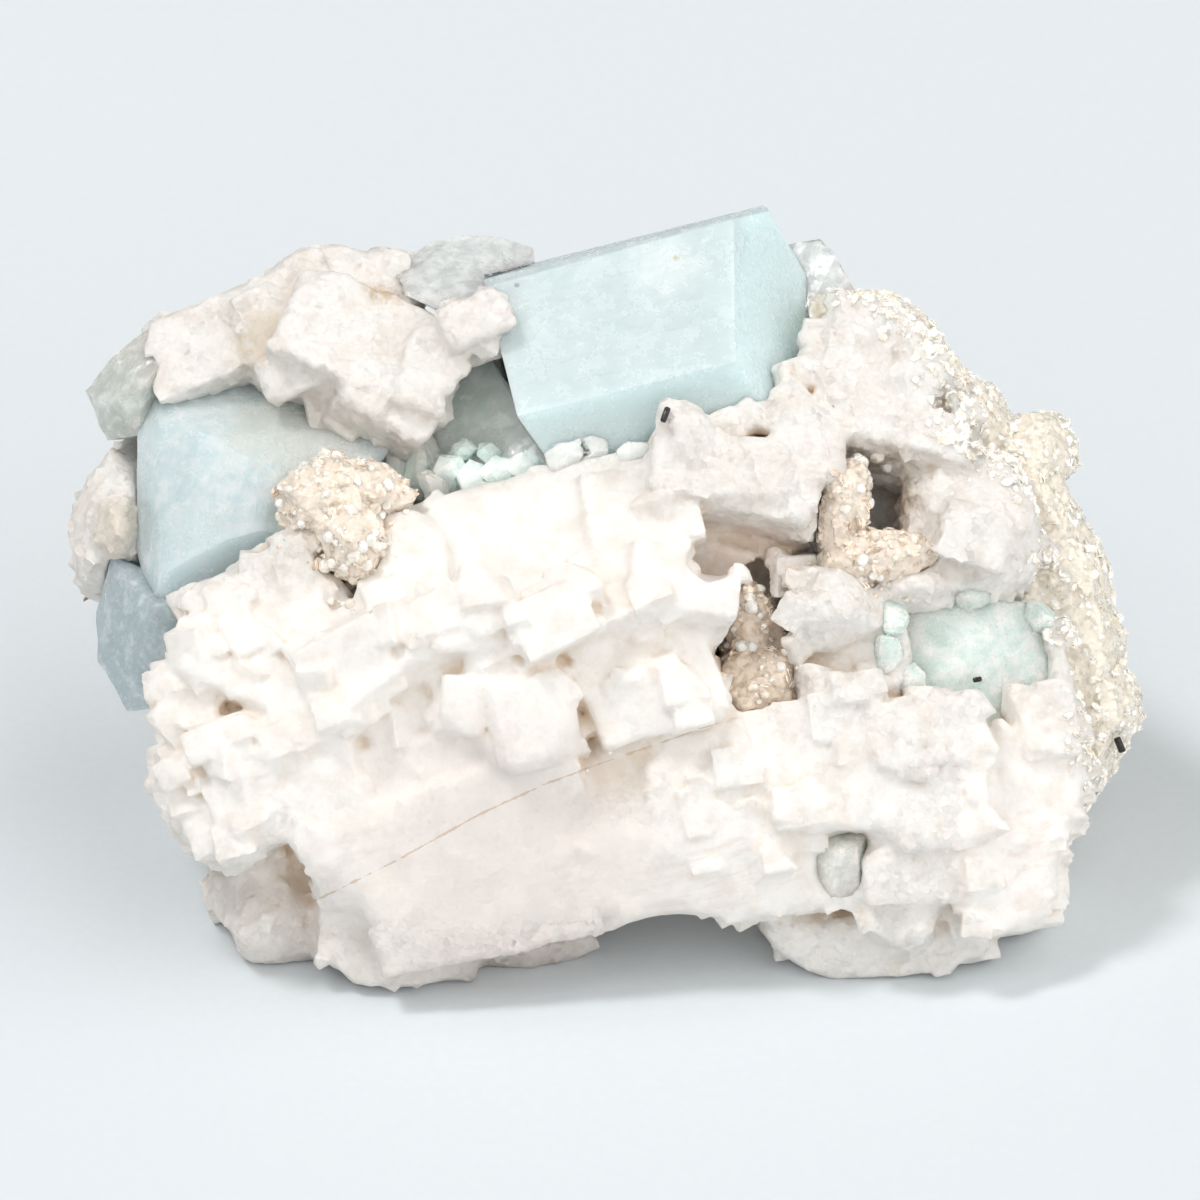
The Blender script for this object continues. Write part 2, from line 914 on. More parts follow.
@dataclass(frozen=True)
class BerylFinish:
    """Aquamarine and its kin: glassy, clouded inside, streaked along the crystal.

    Attributes:
        name: The finish's name.
        colour: The body colour.
        milk: The colour of the clouds inside.
        cloud: How much of the body is cloud, low and high.
        clear: How much of the light goes through.
        depth: The colour that light takes on inside.
        density: How fast it takes it on, for each metre.
        turn: How the streaks are turned, in degrees about the frame's axes.
        etch: How deep the skin is etched, in millimetres.
        rough: The gloss's roughness, low and high.
        tints: Tinted patches and sides, in the order that they are laid.
        fleck: The colour of the fine dark flecks.
        refraction: How strongly it bends light.
        glow: How much of the light spreads under the skin.
        glow_reach: How far it spreads, in millimetres.
        cloud_grain: The size of the clouds, in millimetres.
        fibre_grain: The length of the fine fibres, in millimetres.
    """

    name: str
    colour: Triple
    milk: Triple = (240, 248, 247)
    cloud: tuple[float, float] = (0.42, 0.66)
    clear: float = 0.5
    depth: Triple = (150, 214, 220)
    density: float = 45.0
    turn: Triple = (0.0, 0.0, 0.0)
    etch: float = 0.03
    rough: tuple[float, float] = (0.14, 0.32)
    tints: tuple[Stain | Side, ...] = ()
    fleck: Triple = (132, 138, 132)
    refraction: float = 1.57
    glow: float = 0.85
    glow_reach: float = 3.5
    cloud_grain: float = 1.2
    fibre_grain: float = 0.42

    def material(self) -> bpy.types.Material:
        """Builds the material.

        Returns:
            The material.
        """
        made, graph, shader = new_material(self.name)
        turn = tuple(face_turn(self.turn).to_euler())
        streaks = graph.turned_place(turn, (5.0, 1.0, 1.0))
        cloudy = graph.spread(graph.noise(self.cloud_grain, 6.0, 0.6, bend=0.3), *self.cloud)
        fibres = graph.spread(graph.noise(self.fibre_grain, 4.0, 0.7, streaks), 0.46, 0.74, 0.0, 0.5)
        colour = graph.blend(cloudy, rgba(self.colour), rgba(self.milk))
        for tint in self.tints:
            colour = tint.lay(graph, colour)
        colour = graph.blend(fibres, colour, rgba(self.milk))
        flecks = graph.spread(graph.noise(0.4, 2.0, 0.5), 0.77, 0.82, 0.0, 0.35)
        colour = graph.blend(flecks, colour, rgba(self.fleck))
        graph.feed(shader, "Base Color", colour)
        graph.feed(shader, "Roughness", graph.spread(graph.noise(1.6, 5.0, 0.7), 0.4, 0.7, *self.rough))
        shader.inputs["IOR"].default_value = self.refraction
        shader.inputs["Transmission Weight"].default_value = self.clear
        shader.inputs["Subsurface Weight"].default_value = self.glow
        shader.inputs["Subsurface Radius"].default_value = (0.7, 1.0, 1.0)
        shader.inputs["Subsurface Scale"].default_value = self.glow_reach * MM
        growth = graph.bump(graph.noise(0.9, 4.0, 0.6, streaks), 0.6, self.etch,
                            graph.facets(1.1, self.etch * 1.6, streaks))
        pitted = graph.bump(graph.noise(0.35, 3.0, 0.7), 0.35, self.etch, growth)
        graph.feed(shader, "Normal", pitted)
        absorb = graph.add("ShaderNodeVolumeAbsorption", Color=rgba(self.depth), Density=self.density)
        out = made.node_tree.nodes["Material Output"]
        made.node_tree.links.new(absorb.outputs[0], out.inputs["Volume"])
        return made


@dataclass(frozen=True)
class MicaFinish:
    """Stacked mica flakes: silky, glittering, each flake its own shade.

    Attributes:
        name: The finish's name.
        pale: The palest flakes.
        mid: The common flakes.
        dark: The darkest flakes.
        refraction: How strongly it bends light.
        glow: How much of the light spreads under the skin.
        glow_reach: How far it spreads, in millimetres.
        gloss: How strong the pearly coat is.
        gloss_rough: How rough that coat is.
        leaf_grain: The size of the finest leaves, in millimetres.
    """

    name: str
    pale: Triple = (255, 255, 253)
    mid: Triple = (255, 251, 243)
    dark: Triple = (243, 233, 216)
    refraction: float = 1.6
    glow: float = 0.5
    glow_reach: float = 0.8
    gloss: float = 0.8
    gloss_rough: float = 0.12
    leaf_grain: float = 0.45

    def material(self) -> bpy.types.Material:
        """Builds the material.

        Returns:
            The material.
        """
        made, graph, shader = new_material(self.name)
        tone = graph.add("ShaderNodeAttribute", attribute_name="tone").outputs["Fac"]
        colour = graph.blend(graph.spread(tone, 0.0, 0.5), rgba(self.dark), rgba(self.mid))
        colour = graph.blend(graph.spread(tone, 0.45, 1.0), colour, rgba(self.pale))
        dust = graph.spread(graph.noise(0.8, 4.0, 0.7), 0.5, 0.7, 0.0, 0.2)
        graph.feed(shader, "Base Color", graph.blend(dust, colour, rgba(self.dark)))
        graph.feed(shader, "Roughness", graph.spread(graph.noise(0.4, 2.0), 0.3, 0.7, 0.12, 0.34))
        shader.inputs["IOR"].default_value = self.refraction
        shader.inputs["Subsurface Weight"].default_value = self.glow
        shader.inputs["Subsurface Radius"].default_value = (1.0, 0.9, 0.8)
        shader.inputs["Subsurface Scale"].default_value = self.glow_reach * MM
        shader.inputs["Coat Weight"].default_value = self.gloss
        shader.inputs["Coat Roughness"].default_value = self.gloss_rough
        leaves = graph.facets(self.leaf_grain, 0.55)
        graph.feed(shader, "Normal", graph.bump(graph.noise(0.25, 3.0, 0.6), 0.3, 0.04, leaves))
        return made


@dataclass(frozen=True)
class SchorlFinish:
    """Black tourmaline: nearly black, glossy, with paler worn streaks."""

    colour: Triple = (24, 22, 21)
    worn: Triple = (58, 52, 47)

    def material(self) -> bpy.types.Material:
        """Builds the material.

        Returns:
            The material.
        """
        made, graph, shader = new_material("schorl")
        tone = graph.spread(graph.noise(0.3, 2.0), 0.4, 0.7, 0.0, 0.6)
        graph.feed(shader, "Base Color", graph.blend(tone, rgba(self.colour), rgba(self.worn)))
        graph.feed(shader, "Roughness", graph.spread(graph.noise(0.2), 0.4, 0.6, 0.18, 0.34))
        graph.feed(shader, "Normal", graph.bump(graph.noise(0.1, 2.0), 0.4, 0.03))
        return made


# Small shapes that are copied many times.


@dataclass
class Chips:
    """Patterns for small cleavage pieces of feldspar and for flakes of mica.

    Attributes:
        corner: How far out a chip's corner is broken off, as a share of its side.
        grain_sides: How many flat sides a blunt grain has.
        grain_side: How far those sides lie from its middle.
        flake_thick: A leaf's thickness.
        flake_stray: How far a leaf lies off the middle of its stack.
        flake_fan: How far a leaf leans, in degrees.
    """

    corner: float = 0.32
    grain_sides: int = 5
    grain_side: float = 0.38
    flake_thick: float = 0.09
    flake_stray: float = 0.12
    flake_fan: float = 7.0

    def cleavage(self, name: str, size: Triple, tilt: float) -> bpy.types.Object:
        """A skewed cleavage chip with one corner broken off.

        Args:
            name: The pattern's name.
            size: Its width, depth and height, as parts of one.
            tilt: How far its top is pushed along its width.

        Returns:
            The pattern, one unit across, at the origin.
        """
        bpy.ops.object.select_all(action="DESELECT")
        bpy.ops.mesh.primitive_cube_add(size=1.0)
        chip = bpy.context.object
        chip.name, chip.scale = name, size
        settle(chip)
        bpy.ops.object.mode_set(mode="EDIT")
        bpy.ops.mesh.select_all(action="DESELECT")
        bm = bmesh.from_edit_mesh(chip.data)
        for face in bm.faces:
            face.select = face.normal.z > 0.9
        bm.select_flush_mode()
        bmesh.update_edit_mesh(chip.data)
        bpy.ops.transform.translate(value=(tilt, tilt * 0.6, 0.0))
        bpy.ops.mesh.select_all(action="SELECT")
        corner = [side * self.corner for side in size]
        bpy.ops.mesh.bisect(plane_co=corner, plane_no=(0.7, 0.5, 0.5), use_fill=True,
                            clear_outer=True)
        bpy.ops.object.mode_set(mode="OBJECT")
        return chip

    def nugget(self, name: str, seed: str) -> bpy.types.Object:
        """A blunt grain, one unit across, with a few flat sides.

        Args:
            name: The pattern's name.
            seed: The word that its sides grow from.

        Returns:
            The pattern.
        """
        bpy.ops.object.select_all(action="DESELECT")
        bpy.ops.mesh.primitive_ico_sphere_add(subdivisions=2, radius=0.5)
        grain = bpy.context.object
        grain.name = name
        chooser = random.Random(seed)
        bpy.ops.object.mode_set(mode="EDIT")
        for _ in range(self.grain_sides):
            way = Vector([chooser.gauss(0.0, 1.0) for _ in range(3)]).normalized()
            bpy.ops.mesh.select_all(action="SELECT")
            bpy.ops.mesh.bisect(plane_co=way * self.grain_side, plane_no=way, use_fill=True,
                                clear_outer=True)
        bpy.ops.object.mode_set(mode="OBJECT")
        return grain

    def flake_book(self, name: str, leaves: int, seed: str) -> bpy.types.Object:
        """A small stack of mica leaves, fanned a little.

        Args:
            name: The pattern's name.
            leaves: How many leaves it has.
            seed: The word that its fan grows from.

        Returns:
            The stack, about one unit across, lying on the origin.
        """
        chooser = random.Random(seed)
        stack = []
        for leaf in range(leaves):
            bpy.ops.object.select_all(action="DESELECT")
            bpy.ops.mesh.primitive_cylinder_add(vertices=6, radius=0.5, depth=self.flake_thick,
                                                end_fill_type="NGON")
            plate = bpy.context.object
            off, lean = self.flake_stray, self.flake_fan
            plate.location = (chooser.uniform(-off, off), chooser.uniform(-off, off),
                              leaf * self.flake_thick * 1.25)
            plate.rotation_euler = [math.radians(chooser.uniform(-lean, lean)) for _ in range(3)]
            plate.scale = (chooser.uniform(0.7, 1.0), chooser.uniform(0.5, 0.9), 1.0)
            stack.append(settle(plate))
        return join(stack, name)


def tint_islands(obj: bpy.types.Object, seed: str) -> None:
    """Gives each flake of a joined piece its own tone, as an attribute.

    Args:
        obj: The joined piece.
        seed: The word that the tones grow from.
    """
    mesh = obj.data
    ends = np.empty(len(mesh.edges) * 2, np.int32)
    mesh.edges.foreach_get("vertices", ends)
    ends = ends.reshape(-1, 2)
    island = np.arange(len(mesh.vertices))
    while True:
        low = np.minimum(island[ends[:, 0]], island[ends[:, 1]])
        before = island.copy()
        np.minimum.at(island, ends[:, 0], low)
        np.minimum.at(island, ends[:, 1], low)
        if (before == island).all():
            break
    tones = np.random.default_rng(list(seed.encode())).random(len(mesh.vertices))
    attribute = mesh.attributes.new("tone", "FLOAT", "POINT")
    attribute.data.foreach_set("value", tones[island].astype(np.float32))


def mark_shelter(obj: bpy.types.Object, reach: float, near: float, rays: int = 14) -> None:
    """Marks how open each point is, as two attributes from 0 to 1.

    Args:
        obj: The piece.
        reach: How far off a neighbour may shelter a point, in millimetres.
        near: The same for the fine creases.
        rays: How many ways each point looks.

    A ray that meets something counts from 0, where it touches, to 0.55 at the end of its reach.
    """
    mesh = obj.data
    tree = BVHTree.FromObject(obj, bpy.context.evaluated_depsgraph_get())
    chooser = random.Random("sky")
    lowest, above, clearance, farthest = 0.12, 0.86, 0.04, 0.55
    ways = []
    for i in range(rays):
        height = lowest + above * (i + 0.5) / rays
        around = i * GOLDEN_ANGLE + chooser.uniform(-0.2, 0.2)
        wide = math.sqrt(1.0 - height * height)
        ways.append(Vector((wide * math.cos(around), wide * math.sin(around), height)))
    hits = np.full((len(mesh.vertices), rays), np.inf)
    for vert in mesh.vertices:
        lay = vert.normal.to_track_quat("Z", "Y")
        start = vert.co + vert.normal * (clearance * MM)
        for i, way in enumerate(ways):
            distance = tree.ray_cast(start, lay @ way, reach * MM)[3]
            if distance is not None:
                hits[vert.index, i] = distance / MM
    for name, far in (("shelter", reach), ("crease", near)):
        seen = np.where(hits < far, farthest * hits / far, 1.0).mean(axis=1)
        attribute = mesh.attributes.new(name, "FLOAT", "POINT")
        attribute.data.foreach_set("value", seen.astype(np.float32))


# The specimen's parts.


@dataclass(frozen=True)
class ChipZone:
    """A part of the rock's skin that carries small cleavage chips.

    Attributes:
        low: Its lowest X and Y on the display face.
        high: Its highest X and Y.
        count: How many chips it carries.
        size: The smallest and largest chip, in millimetres.
        turn: How its cleavage lies, in degrees on the display face.
        jitter: How far a chip strays from that, in degrees.
        behind: Whether it is the rear of the specimen.
    """

    low: tuple[float, float]
    high: tuple[float, float]
    count: int
    size: tuple[float, float]
    turn: Triple
    jitter: float = 12.0
    behind: bool = False

    def accepts(self, places: np.ndarray, normals: np.ndarray) -> np.ndarray:
        """Tells which places lie in the zone.

        Args:
            places: Rows of X, Y and Z on the display face.
            normals: The way that the surface faces at each, as rows on the display face.

        Returns:
            Whether each may be used.
        """
        inside = (places[:, :2] > self.low).all(axis=1) & (places[:, :2] < self.high).all(axis=1)
        front = normals[:, 2] > -0.15
        return inside & (~front if self.behind else front)


@dataclass(frozen=True)
class Block:
    """A cleavage block set by hand, which stands out of the rock.

    Attributes:
        at: X and Y of its middle on the display face, and Z of its front where it is told.
        size: Its width, height and thickness, in millimetres.
        turn: How its cleavage lies, in degrees on the display face.
        out: How far its front stands out of the rock.
        bevel: How worn its edges are, in millimetres.
    """

    at: tuple[float, ...]
    size: Triple
    turn: Triple
    out: float = 0.8
    bevel: float = 0.12

    def build(self, name: str, rock: BVHTree) -> bpy.types.Object:
        """Models the block, with one corner broken off, and sets it on the rock.

        Args:
            name: The block's name, which its broken corner grows from.
            rock: The rock's surface.

        Returns:
            The block.
        """
        bpy.ops.object.select_all(action="DESELECT")
        bpy.ops.mesh.primitive_cube_add(size=1.0)
        block = bpy.context.object
        block.name, block.scale = name, [side * MM for side in self.size]
        settle(block)
        chooser = random.Random(name)
        corner = Vector([side * MM * chooser.choice((-0.34, 0.34)) for side in self.size[:2]]
                        + [self.size[2] * MM * 0.36])
        bpy.ops.object.mode_set(mode="EDIT")
        bpy.ops.mesh.select_all(action="SELECT")
        bpy.ops.mesh.bisect(plane_co=corner, plane_no=corner.normalized() + Vector((0, 0, 0.5)),
                            use_fill=True, clear_outer=True)
        bpy.ops.object.mode_set(mode="OBJECT")
        soften_edges(block, self.bevel, 1)
        front = self.at[2] if len(self.at) > 2 else self.front_of(rock)
        middle = on_face((*self.at[:2], front + self.out - 0.5 * self.size[2]))
        block.matrix_world = Matrix.Translation(middle) @ face_turn(self.turn)
        return settle(block)

    def front_of(self, rock: BVHTree) -> float:
        """Finds the rock's front behind the block's middle.

        Args:
            rock: The rock's surface.

        Returns:
            Z on the display face, in millimetres.
        """
        hit = rock.ray_cast(on_face((*self.at[:2], FAR_OUT)), -OUT_OF_FACE)[0]
        return float(face_places(np.array([hit]))[0, 2]) if hit else 0.0


@dataclass
class Feldspar:
    """The white mass: cleavage blocks grown together, with a sugary broken skin."""

    block_voxel: float = 0.5
    voxel: float = 0.24
    most: int = 196_000
    clear_of_crystals: float = 0.62
    lapped: tuple[str, ...] = ("aquamarine_left", "aquamarine_right", "beryl_foot", "beryl_shard_left",
                               "quartz_upper_left", "mica_cluster_left", "mica_cavity_centre",
                               "mica_pocket_right", "muscovite_crust", "aquamarine_lower_left")
    ground: float = 0.02
    sink: tuple[float, float] = (0.2, 0.38)
    zones: tuple[ChipZone, ...] = (
        ChipZone((-40, 11), (-6, 31), 1100, (0.4, 1.7), (-24, 0, 26), 6.0),
        ChipZone((-22, -6), (10, 3), 90, (1.0, 4.2), (-24, 0, 22), 4.0),
        ChipZone((-34, -12), (-20, 6), 130, (0.9, 4.0), (-14, -6, 26), 4.0),
        ChipZone((-22, -14), (8, -3), 90, (0.7, 2.8), (-8, -6, 26), 5.0),
        ChipZone((-40, -26), (-27, 0), 300, (0.8, 3.6), (-10, -16, 24), 5.0),
        ChipZone((6, -22), (30, -6), 240, (0.8, 4.2), (-4, 6, 8), 5.0),
        ChipZone((28, -31), (44, -2), 300, (0.8, 3.6), (-4, 14, 6), 6.0),
        ChipZone((17, -2), (39, 27), 900, (0.5, 2.4), (-16, 10, -34), 12.0),
        ChipZone((4, 2), (20, 18), 300, (0.5, 2.0), (-20, 4, -6), 10.0),
        ChipZone((14, -34), (32, -24), 200, (0.6, 2.2), (10, 4, 10), 14.0),
        ChipZone((-34, -34), (0, -27), 140, (0.5, 1.6), (20, 12, 34), 30.0),
        ChipZone((-46, -2), (-34, 16), 260, (0.6, 2.0), (0, 20, 50), 35.0),
        ChipZone((-27, -30), (22, -13), 130, (0.7, 2.6), (16, 0, 20), 3.0),
        ChipZone((-46, -40), (46, 40), 700, (1.8, 5.6), (10, 20, 15), 25.0, True),
        ChipZone((-36, -31), (-23, -20), 110, (0.7, 2.4), (20, 12, 34), 36.0),
    )
    reliefs: tuple[Relief, ...] = (
        Relief(Grit.SWELLS, 6.0, 0.9, depth=2, where="broken"),
        Relief(Grit.SWELLS, 1.8, 0.26, depth=2, where="broken"),
        Relief(Grit.CHIPS, 0.9, 0.12, depth=1, where="broken"),
        Relief(Grit.SWELLS, 5.0, 0.4, depth=1),
        Relief(Grit.SWELLS, 0.5, 0.08, depth=1),
    )
    worn: tuple[tuple[Triple, Triple], ...] = (
        ((-12.0, -21.5, 4.0), (19.0, 6.5, 14.0)),
        ((8.0, -22.5, 4.0), (12.0, 5.0, 14.0)),
        ((35.5, -22.0, 0.0), (4.0, 7.0, 14.0)),
    )
    calm: tuple[tuple[Triple, Triple, float], ...] = (
        ((-14.0, -8.0, 8.0), (21.0, 12.0, 20.0), 0.85),
        ((-4.0, 2.0, 6.0), (18.0, 8.0, 18.0), 0.85),
        ((4.0, -8.0, 8.0), (9.0, 7.0, 16.0), 0.9),
        ((14.0, -16.0, 6.0), (12.0, 8.0, 16.0), 0.6),
        ((-23.0, 21.0, 0.0), (15.0, 9.0, 20.0), 0.2),
        ((34.0, -18.0, 0.0), (7.0, 12.0, 16.0), 0.7),
        ((-31.0, -10.0, 6.0), (7.0, 12.0, 16.0), 0.85),
    )
    wear: int = 60
    blocks: tuple[Block, ...] = (
        Block((-20.4, -5.4), (7.6, 7.2, 5.0), (8, -12, 28), 0.65),
        Block((-19.5, -9.4), (2.4, 2.2, 2.6), (6, -8, 28), 0.65),
        Block((-18.2, -8.6), (2.0, 2.0, 2.2), (4, -8, 28), 0.5),
        Block((-17.2, -9.6), (2.6, 1.6, 2.2), (12, -8, 24), 0.36),
        Block((-20.7, -10.4), (1.6, 1.4, 1.6), (6, -8, 28), 0.36),
        Block((-11.4, -8.5), (3.8, 5.0, 4.0), (6, 4, -4), 0.86, 0.3),
        Block((-15.5, -9.0), (4.2, 3.8, 3.6), (-6, -10, 32), 0.72, 0.4),
        Block((-9.2, -5.0), (4.0, 3.2, 3.0), (4, 8, -16), 0.86, 0.25),
        Block((-5.6, -10.0), (7.4, 8.0, 5.0), (0, 4, 12), 0.79, 0.9),
        Block((-4.0, -1.8), (6.6, 5.0, 4.0), (-6, 6, 26), 0.86),
        Block((-9.6, -1.2), (5.0, 4.0, 3.2), (-8, -4, 26), 0.72),
        Block((-14.2, -1.8), (4.8, 3.8, 3.2), (-10, 4, 24), 0.65),
        Block((-17.6, 0.2), (3.6, 3.2, 3.0), (-8, 0, 26), 0.65),
        Block((4.2, -8.0), (6.6, 6.0, 5.0), (6, -4, 22), 0.94),
        Block((8.9, -8.8), (2.8, 2.6, 2.6), (6, 10, 8), 0.65, 0.5),
        Block((-25.8, 1.8), (6.0, 5.0, 4.0), (-14, -10, 26), 0.58),
        Block((-30.0, -1.6), (3.6, 6.0, 4.0), (-6, -18, 12), 0.58),
        Block((-33.0, -3.2), (2.2, 4.0, 3.4), (-6, -20, 20), 0.65),
        Block((-33.0, -5.4, 9.0), (2.6, 2.4, 4.0), (-6, -20, 22), 0.22),
        Block((-33.2, -8.0, 8.8), (4.4, 5.4, 5.0), (4, -20, 22), 0.22),
        Block((-34.4, -9.6, 6.6), (2.2, 2.2, 4.0), (4, -24, 20), 0.22),
        Block((-33.9, -11.8, 7.6), (3.0, 2.6, 4.0), (4, -22, 24), 0.22),
        Block((-33.4, -15.4, 8.4), (5.2, 6.4, 6.0), (10, -24, 34), 0.29),
        Block((-30.4, -12.6), (4.6, 4.4, 3.4), (4, -12, 28), 0.5),
        Block((-26.4, -12.8), (3.6, 3.0, 3.0), (8, -6, 30), 0.43),
        Block((-27.6, 22.4), (4.6, 6.0, 4.0), (-10, -16, 20), 1.2, 0.5),
        Block((-26.0, 18.8), (4.4, 4.0, 4.0), (-4, -14, 24), 1.0, 0.5),
        Block((10.2, 14.4, 5.4), (2.6, 2.2, 3.0), (-10, 10, 20), 0.5, 0.2),
        Block((12.3, 14.9, 5.2), (2.4, 2.6, 3.0), (-16, -8, 34), 0.5, 0.2),
        Block((14.2, 15.3, 4.8), (2.8, 2.0, 3.0), (-10, 12, 10), 0.5, 0.2),
        Block((16.0, 16.6, 4.2), (2.4, 2.8, 3.0), (-20, 6, 40), 0.5, 0.2),
        Block((17.3, 18.8, 3.2), (2.2, 2.6, 3.0), (-10, 14, 16), 0.4, 0.2),
        Block((18.2, 21.2, 1.4), (2.4, 3.0, 3.0), (-12, 6, 30), 0.4, 0.2),
        Block((15.2, -8.0), (3.0, 6.4, 4.0), (-6, 4, 4), 0.65),
        Block((18.8, -9.6), (3.6, 4.2, 3.6), (-4, 6, 8), 0.5),
        Block((9.8, -13.0), (6.0, 4.6, 4.0), (-8, -4, 20), 0.5),
        Block((24.6, -12.6), (5.0, 5.0, 4.0), (-6, 8, 12), 0.5),
        Block((36.6, -10.4), (5.0, 6.0, 5.0), (-4, 18, 8), 0.65),
        Block((30.8, 5.2), (5.6, 5.0, 4.0), (-10, 12, -20), 0.58),
        Block((25.8, 18.4), (4.4, 6.0, 3.6), (-14, 8, -32), 0.65),
        Block((13.9, -20.6), (3.0, 3.6, 4.0), (6, -10, 12), 0.5),
        Block((19.9, -22.6), (3.4, 4.4, 4.0), (4, 10, -8), 0.5),
        Block((16.8, -17.6), (5.0, 2.6, 3.0), (-4, 0, 8), 0.6, 0.3),
        Block((5.8, 6.6), (5.0, 4.4, 4.0), (-12, 4, 14), 0.65),
    )
    finish: AlbiteFinish = AlbiteFinish(tints=(
        Stain((-27.0, 21.5, 0.0), 4.2, (226, 206, 178), 0.6, 1.0),
        Stain((-18.0, 25.8, 0.0), 2.4, (206, 176, 140), 0.75, 0.8),
        Stain((-27.8, -26.0, 0.0), 7.6, (240, 232, 226), 0.85, 1.8),
        Stain((-7.0, -29.4, 4.0), 7.0, (202, 188, 176), 0.7, 1.6),
        Stain((0.5, -14.0, 8.0), 5.5, (216, 196, 172), 0.6, 1.2),
        Stain((13.0, 4.0, 3.0), 5.5, (226, 206, 190), 0.7, 1.2),
        Stain((22.0, 8.0, 3.0), 5.0, (186, 158, 128), 0.85, 1.0),
        Stain((31.0, -13.0, 3.0), 2.6, (206, 182, 150), 0.7, 0.8),
        Stain((-40.5, 6.0, 0.0), 3.4, (222, 206, 184), 0.5, 1.4),
        Stain((-20.5, 5.0, 7.0), 5.0, (222, 200, 174), 0.7, 1.4),
        Stain((12.6, -4.6, 5.0), 5.0, (216, 194, 166), 0.7, 1.2),
        Stain((24.6, -29.0, 2.0), 1.8, (206, 212, 202), 0.8, 0.8),
        Stain((-12.9, -22.5, 10.0), 0.7, (176, 156, 134), 0.9, 0.4),
        Stain((-8.0, -21.5, 6.0), 17.0, (229, 220, 214), 0.85, 3.0),
        Seam(((-23.8, -25.0, 9.0), (-17.0, -21.6, 9.0), (-10.0, -17.7, 9.0), (-4.6, -15.2, 9.0),
              (0.0, -13.5, 9.0), (9.6, -10.2, 9.0)), (196, 166, 134), 0.08, 0.6),
    ))

    def patterns(self) -> list[bpy.types.Object]:
        """Models the chips that are copied.

        Returns:
            The patterns.
        """
        maker = Chips()
        return [maker.cleavage("chip_cube", (1.0, 0.85, 0.7), 0.08),
                maker.cleavage("chip_plate", (1.15, 0.8, 0.34), 0.05),
                maker.cleavage("chip_wedge", (0.9, 0.7, 0.6), 0.26)]

    def chip_places(self, host: bpy.types.Object) -> list[Matrix]:
        """Where each chip goes, and how it lies.

        Args:
            host: The rock that takes them.

        Returns:
            A matrix for each chip.
        """
        bare = [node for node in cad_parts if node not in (*self.lapped, "feldspar_matrix")]
        crystals = node_surfaces(bare)
        matrices = []
        for index, zone in enumerate(self.zones):
            chooser = random.Random(f"chips {index}")
            for spot in spots_on(host, zone.count, f"zone {index}", zone.accepts):
                if crystals.find_nearest(spot.at, self.clear_of_crystals * MM)[0] is not None:
                    continue
                if spot.at.z < 0.8 * MM:
                    continue
                size = zone.size[0] + (zone.size[1] - zone.size[0]) * chooser.random() ** 1.6
                turn = [angle + chooser.gauss(0.0, zone.jitter) for angle in zone.turn]
                at = spot.at - spot.outward * (size * chooser.uniform(*self.sink) * MM)
                lay = Matrix.Translation(at) @ face_turn(turn)
                matrices.append(lay @ Matrix.Scale(size * MM, 4))
        return matrices

    def build(self) -> bpy.types.Object:
        """Builds the piece in the place of its node.

        Returns:
            The piece.
        """
        patterns = self.patterns()
        rock = take_node("feldspar_matrix", "albite_mass")
        remesh(rock, self.block_voxel)
        self.wear_smooth(rock)
        tree = BVHTree.FromObject(rock, bpy.context.evaluated_depsgraph_get())
        blocks = [block.build(f"block_{i}", tree) for i, block in enumerate(self.blocks)]
        rock = join([rock, *blocks], "albite_mass")
        chips = sow(patterns, self.chip_places(rock), "chips", "albite_chips")
        discard(patterns)
        rock = join([rock, chips], "albite_mass")
        remesh(rock, self.voxel)
        self.gather(rock, "broken", self.broken_share(self.skin(rock)))
        for relief in self.reliefs:
            relief.press(rock)
        self.level_base(rock)
        thin_out(rock, self.most)
        shade(rock, 42.0)
        mark_shelter(rock, 6.0, 1.3)
        rock.vertex_groups.clear()
        broken = rock.data.attributes.new("roughness", "FLOAT", "POINT")
        broken.data.foreach_set("value", self.broken_share(self.skin(rock)).astype(np.float32))
        rock.data.materials.append(self.finish.material())
        return hand_over(rock, "feldspar_matrix")

    def skin(self, rock: bpy.types.Object) -> np.ndarray:
        """The places of the rock's points on the display face.

        Args:
            rock: The rock.

        Returns:
            One row for each point.
        """
        values = np.empty(len(rock.data.vertices) * 3, np.float32)
        rock.data.vertices.foreach_get("co", values)
        return face_places(values.reshape(-1, 3).astype(float))

    def share_of(self, places: np.ndarray, middle: Triple, reach: Triple) -> np.ndarray:
        """How far each of these places belongs to a rounded zone, 0 to 1.

        Args:
            places: Rows of X, Y and Z on the display face.
            middle: The zone's middle.
            reach: How far it reaches along X, Y and Z.

        Returns:
            A share for each place.
        """
        away = np.linalg.norm((places - np.array(middle)) / np.array(reach), axis=1)
        return np.clip((1.15 - away) / 0.35, 0.0, 1.0)

    def worn_share(self, places: np.ndarray) -> np.ndarray:
        """How far each of these places belongs to a smooth sweep, 0 to 1."""
        return np.max([self.share_of(places, *zone) for zone in self.worn], axis=0)

    def broken_share(self, places: np.ndarray) -> np.ndarray:
        """How rough the break is at each of these places, 0 to 1."""
        calm = np.max([self.share_of(places, *zone) * most for *zone, most in self.calm], axis=0)
        return 1.0 - np.maximum(calm, self.worn_share(places))

    def gather(self, rock: bpy.types.Object, name: str, share: np.ndarray) -> None:
        """Gathers points into a vertex group, in eight steps of weight.

        Args:
            rock: The rock.
            name: The group's name.
            share: Each point's weight, 0 to 1.
        """
        group = rock.vertex_groups.new(name=name)
        for step in range(1, 9):
            chosen = np.nonzero(np.round(share * 8) == step)[0]
            group.add(chosen.tolist(), step / 8, "REPLACE")

